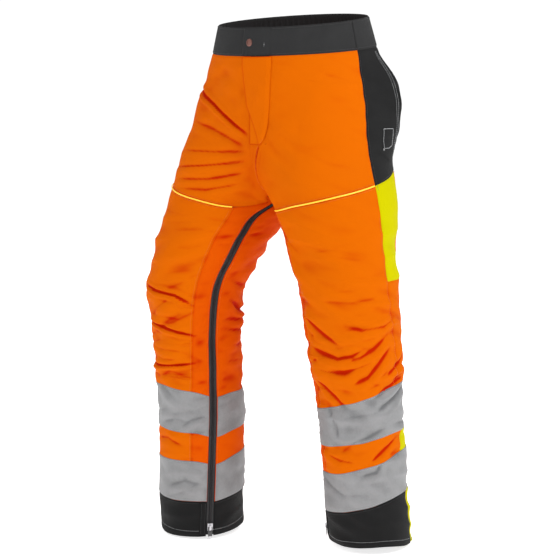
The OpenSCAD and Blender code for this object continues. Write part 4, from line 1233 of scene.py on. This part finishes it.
# ---- Belt loops -----------------------------------------------------------------------------
# A doubled loop of the waistband cloth at each side of the back, bartacked at head and foot.
for side in (1, -1):
    v = np.concatenate([np.linspace(-56, -50, 4), np.linspace(-46, -12, 12), np.linspace(-8, -2, 4)])
    stand = np.interp(v, [-56, -50, -44, -14, -8, -2], [1.4, 1.7, 4.6, 4.6, 1.7, 1.4])
    centre = form(side, 0.79, v) + outward(side, 0.79, v) * (stand + SHELL)[:, None]
    out = outward(side, 0.79 + 0 * v, v)
    ahead = unit(np.gradient(centre, axis=0))
    across = unit(np.cross(out, ahead))
    run = np.concatenate([[0], np.cumsum(np.linalg.norm(np.diff(centre, axis=0), axis=1))])
    loop = [(-6, 0.3), (-5.7, 0), (0, 0), (5.7, 0), (6, 0.3), (5.9, 1.1), (5.2, 1.35), (0, 1.4), (-5.2, 1.35),
            (-5.9, 1.1)]
    piece = ribbon(side_name[side] + "_belt_loop", centre, across, unit(np.cross(ahead, across)), run, loop,
                   belt_cloth)
    if side > 0:
        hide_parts("belt_loops")
    for v0 in (-53.5, -4.5):
        for k in range(3):
            t = np.linspace(0.79 - 5 / GIRTH, 0.79 + 5 / GIRTH, 8)
            stitch(side, t, np.full(8, v0 - 0.9 + 0.9 * k), SHELL + 3.1, "dark", 2.0, 0.3, 0.6)

# ---- Fly ------------------------------------------------------------------------------------
# The left front's flap laps over the fly zip on to the right front, and a charcoal tab closes the
# waistband over it. A facing closes the zip's foot, and a shield of the orange cloth lies behind it.


def strip(name, right, left, foot, head, lift, thick, material, slot, node, step=3.0, swell=0.0,
          body="garment", dip=0.5, hug=0.0, hug_wide=10.0, lowest=-99.0):
    """A panel across the middle front whose side edges are lines right(v) and left(v)."""
    w = cut_steps(head - foot, 3.4, (0.9, 2.4))
    v_col = foot + (head - foot) * w
    u = cut_steps((np.max(right(v_col)) + np.max(left(v_col))) * 540, step, (0.9, 2.4))
    signed = -right(v_col)[:, None] * (1 - u) + left(v_col)[:, None] * u
    v = v_col[:, None] + 0 * signed
    rest, out, height = np.zeros(v.shape + (3,)), np.zeros(v.shape + (3,)), np.zeros(v.shape)
    for side in (1, -1):
        here = signed >= 0 if side > 0 else signed < 0
        t = np.abs(signed[here])
        rest[here], out[here] = form(side, t, v[here]), outward(side, t, v[here])
        height[here] = np.maximum(relief(side, t, v[here]), lowest)
    wide = (right(v_col) + left(v_col))[:, None] * 540
    # a left edge that hugs the cloth below is no free edge, so it isn't turned in
    sideways = u if hug else np.minimum(u, 1 - u)
    edge = np.minimum(sideways * wide, np.minimum(w, 1 - w)[:, None] * (head - foot))
    middle = height + lift - dip * np.exp(-(edge / 1.8) ** 2) + swell * (1 - np.exp(-(edge / 9) ** 2))
    close = np.clip(1 - (left(v_col)[:, None] - signed) * 540 / hug_wide, 0, 1)
    middle = middle - hug * close * close * (3 - 2 * close)
    outer = (rest + out * (middle + thick)[..., None]) * MM
    inner = (rest + out * middle[..., None]) * MM
    places = np.stack([signed * GIRTH, v], -1).reshape(-1, 2) * MM
    # painted shade along the strip's edges
    painted_shade_depth = (0.8 * np.exp(-(edge / 2.4) ** 2)).ravel()
    made = mesh_piece(name, np.concatenate([outer.reshape(-1, 3), inner.reshape(-1, 3)]),
                      layer_faces(*v.shape, False), np.concatenate([places, places]),
                      np.concatenate([painted_shade_depth, painted_shade_depth]), material)
    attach(made, body)
    if node:
        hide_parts(node)
    return made


def free_edge(v):
    """The flap's free edge, in turns to the right of the middle: its foot crosses over to the left."""
    return np.interp(v, [-246, -228, -200, -165, -110, -59], [-0.052, -0.042, -0.018, 0.012, 0.028, 0.036])


def sewn_edge(v):
    return 0.056 + 0.038 * np.sqrt(1 - (1 - np.clip((v - FLY_FOOT) / 50, 0, 1)) ** 2)


flap = strip("lapped_fly_flap", free_edge, sewn_edge, FLY_FOOT - 3, -WAISTBAND - 1, 2.8, 1.0, bright_orange,
             "orange_cloth", "fly_flap", swell=0.5, body="fly_cover", dip=0.3, hug=1.6, lowest=0.0)
strip("sewn_fly_facing", level(-SEAM), lambda v: np.maximum(0.008, 0.016 - free_edge(v)), FLY_FOOT - 2, -184,
      2.05, 0.45, bright_orange, "orange_cloth", None, dip=0.1, lowest=0.0)
strip("folded_fly_tab", level(0.034), level(0.0870), -WAISTBAND + 0.5, 0.5, 2.8, 2.0, belt_cloth,
      "waistband_cloth", "fly_tab", swell=0.25, body="fly_cover", hug=3.75, hug_wide=20.0, dip=0.9)
strip("sewn_fly_shield", level(0.028), lambda v: 0.07 * np.minimum(1, 0.3 + (v - FLY_FOOT) / 100),
      FLY_FOOT + 12, -WAISTBAND - 2, -9.0, 1.0, bright_orange, "orange_cloth", "fly_shield", dip=0.2)
# the placket's stitch line runs down the flap and curves in to its foot; the seam goes on below it
v = np.concatenate([np.linspace(-62, -226, 130), np.linspace(-228, FLY_FOOT + 1, 20)])
placket = np.interp(v, [-243, -239, -232, -222, -205, -150, -62],
                    [0.057, 0.066, 0.073, 0.079, 0.082, 0.074, 0.055])
for inset in (0, 5.5):
    keep = placket - inset / GIRTH > -free_edge(v) + 0.004
    stitch(1, (placket - inset / GIRTH)[keep], v[keep], 3.95, "orange", 2.8, 1.0, 0.6, body="fly_cover")
v = np.linspace(FLY_FOOT - 4, -335, 60)
stitch(1, 0.056 - 0.052 * (FLY_FOOT - v) / 93 - 4 / GIRTH, v, SHELL + 1.6, "orange", 2.6, 1.2, 0.5)
stitch(-1, np.full(40, 0.029), np.linspace(-55, -2, 40), 5.0, "dark", 2.6, 1.2, 0.6, body="fly_cover")
stitch(1, np.linspace(0.062, 0.069, 8), np.full(8, -35.0), 5.2, "grey", 1.4, 0.2, 0.7, body="fly_cover")
stitch(1, np.full(8, 0.066), np.linspace(-31, -39, 8), 5.2, "grey", 1.4, 0.2, 0.7, body="fly_cover")

# ---- Every row of stitches, one piece for each leg and thread -------------------------------
for (side, shade, body), rows in stitch_rows.items():
    count, points, faces = 0, [], []
    for ring, around in rows:
        points.append(ring)
        faces.append(around + count)
        count += len(ring)
    piece = mesh_piece(f"{side_name[side]}_{shade}_stitches" + ("_fly" if body != "garment" else ""),
                       np.concatenate(points), np.concatenate(faces), material=threads[shade])
    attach(piece, body)

# ---- Metal parts ----------------------------------------------------------------------------
# Die-cast zinc sliders and stops, a lacquered leg pull, and a coppery snap: each as it is made,
# with its finish laid on.


def cast_metal(name, bright, dull, rough, metallic=1.0, coat=0.0):
    made, shader, wire = new_finish(name)
    place = wire.node("ShaderNodeTexCoord", output=3)
    cloudy, grain = speckle(wire, place, 120, 4), speckle(wire, place, 1500, 2)
    tone = (cloudy * 0.6 + grain * 0.3).between(0.1, 0.9)
    feed(shader, wire, Base_Color=tone.blend(dye(*bright), dye(*dull)), Metallic=metallic,
         Roughness=rough + 0.15 * cloudy, Coat_Weight=coat, Coat_Roughness=0.2,
         Normal=bump(wire, grain + cloudy, 0.00008, 0.4))
    return made


cast_zinc = cast_metal("cast_zinc", (0.60, 0.60, 0.62), (0.34, 0.34, 0.36), 0.28)
black_pull = cast_metal("black_pull", (0.035, 0.035, 0.037), (0.015, 0.015, 0.016), 0.35, 0.0, 0.5)
# the lacquer stops short of the pull's bare metal end
wire = Wire(black_pull.node_tree)
parts = black_pull.node_tree.nodes.new("ShaderNodeSeparateXYZ")
black_pull.node_tree.links.new(wire.node("ShaderNodeTexCoord", output=0).socket, parts.inputs[0])
lacquer = Wire(black_pull.node_tree, parts.outputs[2]).between(0.2, 0.24)
shader = black_pull.node_tree.nodes["Principled BSDF"]
painted = Wire(black_pull.node_tree, shader.inputs["Base Color"].links[0].from_socket)
feed(shader, wire, Base_Color=lacquer.blend(dye(0.55, 0.55, 0.57), painted), Metallic=1.0 - lacquer)
copper_snap = cast_metal("copper_snap", (0.24, 0.12, 0.10), (0.12, 0.055, 0.045), 0.3)
finishes = {"zip_stops": cast_zinc, "fly_slider": cast_zinc, "fly_pull": cast_zinc, "fly_zip": woven_tape,
            "snap_cap": copper_snap, "snap_stud": copper_snap}
for side in ("left", "right"):
    finishes[side + "_zip_slider"] = cast_zinc
    finishes[side + "_zip_pull"] = black_pull
for node, finish in finishes.items():
    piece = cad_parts[node]
    if not piece.data.materials:
        piece.data.materials.append(finish)
    for n in range(len(piece.data.materials)):
        piece.data.materials[n] = finish

# ---- Floor and light ------------------------------------------------------------------------
# A plain pale floor under a white sky, and soft lamps: a key high on the camera's right, a fill on
# its left, and one behind.
base = cad_box[0][2] - 0.003
ring_count, spokes = 24, 64
radii = 6.0 * (np.arange(ring_count + 1) / ring_count) ** 1.5
turn = np.linspace(0, 2 * np.pi, spokes, endpoint=False)
level_base = base + 0 * radii[:, None] * turn
points = np.stack([radii[:, None] * np.cos(turn), radii[:, None] * np.sin(turn), level_base],
                  -1).reshape(-1, 3)
i, j = np.meshgrid(np.arange(ring_count), np.arange(spokes), indexing="ij")
a, b = (i * spokes + j).ravel(), (i * spokes + (j + 1) % spokes).ravel()
stage_finish, shader, wire = new_finish("stage_paper")
paper = speckle(wire, wire.node("ShaderNodeTexCoord", output=3), 3, 2)
feed(shader, wire, Base_Color=paper.blend(dye(0.93, 0.93, 0.93), dye(0.95, 0.95, 0.95)), Roughness=0.9,
     Specular_IOR_Level=0.1, Emission_Color=dye(1.0, 1.0, 1.0), Emission_Strength=0.75)
floor = mesh_piece("stage_floor", points, np.stack([a, a + spokes, b + spokes, b], 1), material=stage_finish)


def lamp(name, azimuth, elevation, away, size, power, tint=(1, 1, 1)):
    light = bpy.data.lights.new(name, "AREA")
    light.shape = "RECTANGLE"
    light.size, light.size_y = size
    light.energy = power
    light.color = tint
    holder = bpy.data.objects.new(name, light)
    az, el = math.radians(azimuth), math.radians(elevation)
    toward = Vector((math.sin(az) * math.cos(el), -math.cos(az) * math.cos(el), math.sin(el)))
    holder.location = look_at + toward * away
    holder.rotation_euler = toward.to_track_quat("Z", "Y").to_euler()
    bpy.context.scene.collection.objects.link(holder)


lamp("key_light", 84, 46, 3.2, (1.1, 1.1), 62)
lamp("fill_light", -30, 30, 3.8, (1.6, 1.8), 26)
lamp("back_light", 215, 32, 3.6, (2.0, 2.0), 30)
# the sky shows white behind the garment, but lights it softly, so that the lamps shape the folds
sky = bpy.data.worlds.new("studio")
sky.use_nodes = True
wire = Wire(sky.node_tree)
seen = wire.node("ShaderNodeLightPath")
backdrop = sky.node_tree.nodes["Background"]
backdrop.inputs["Color"].default_value = (1, 1, 1, 1)
sky.node_tree.links.new((seen * 0.45 + 0.6).socket, backdrop.inputs["Strength"])
bpy.context.scene.world = sky
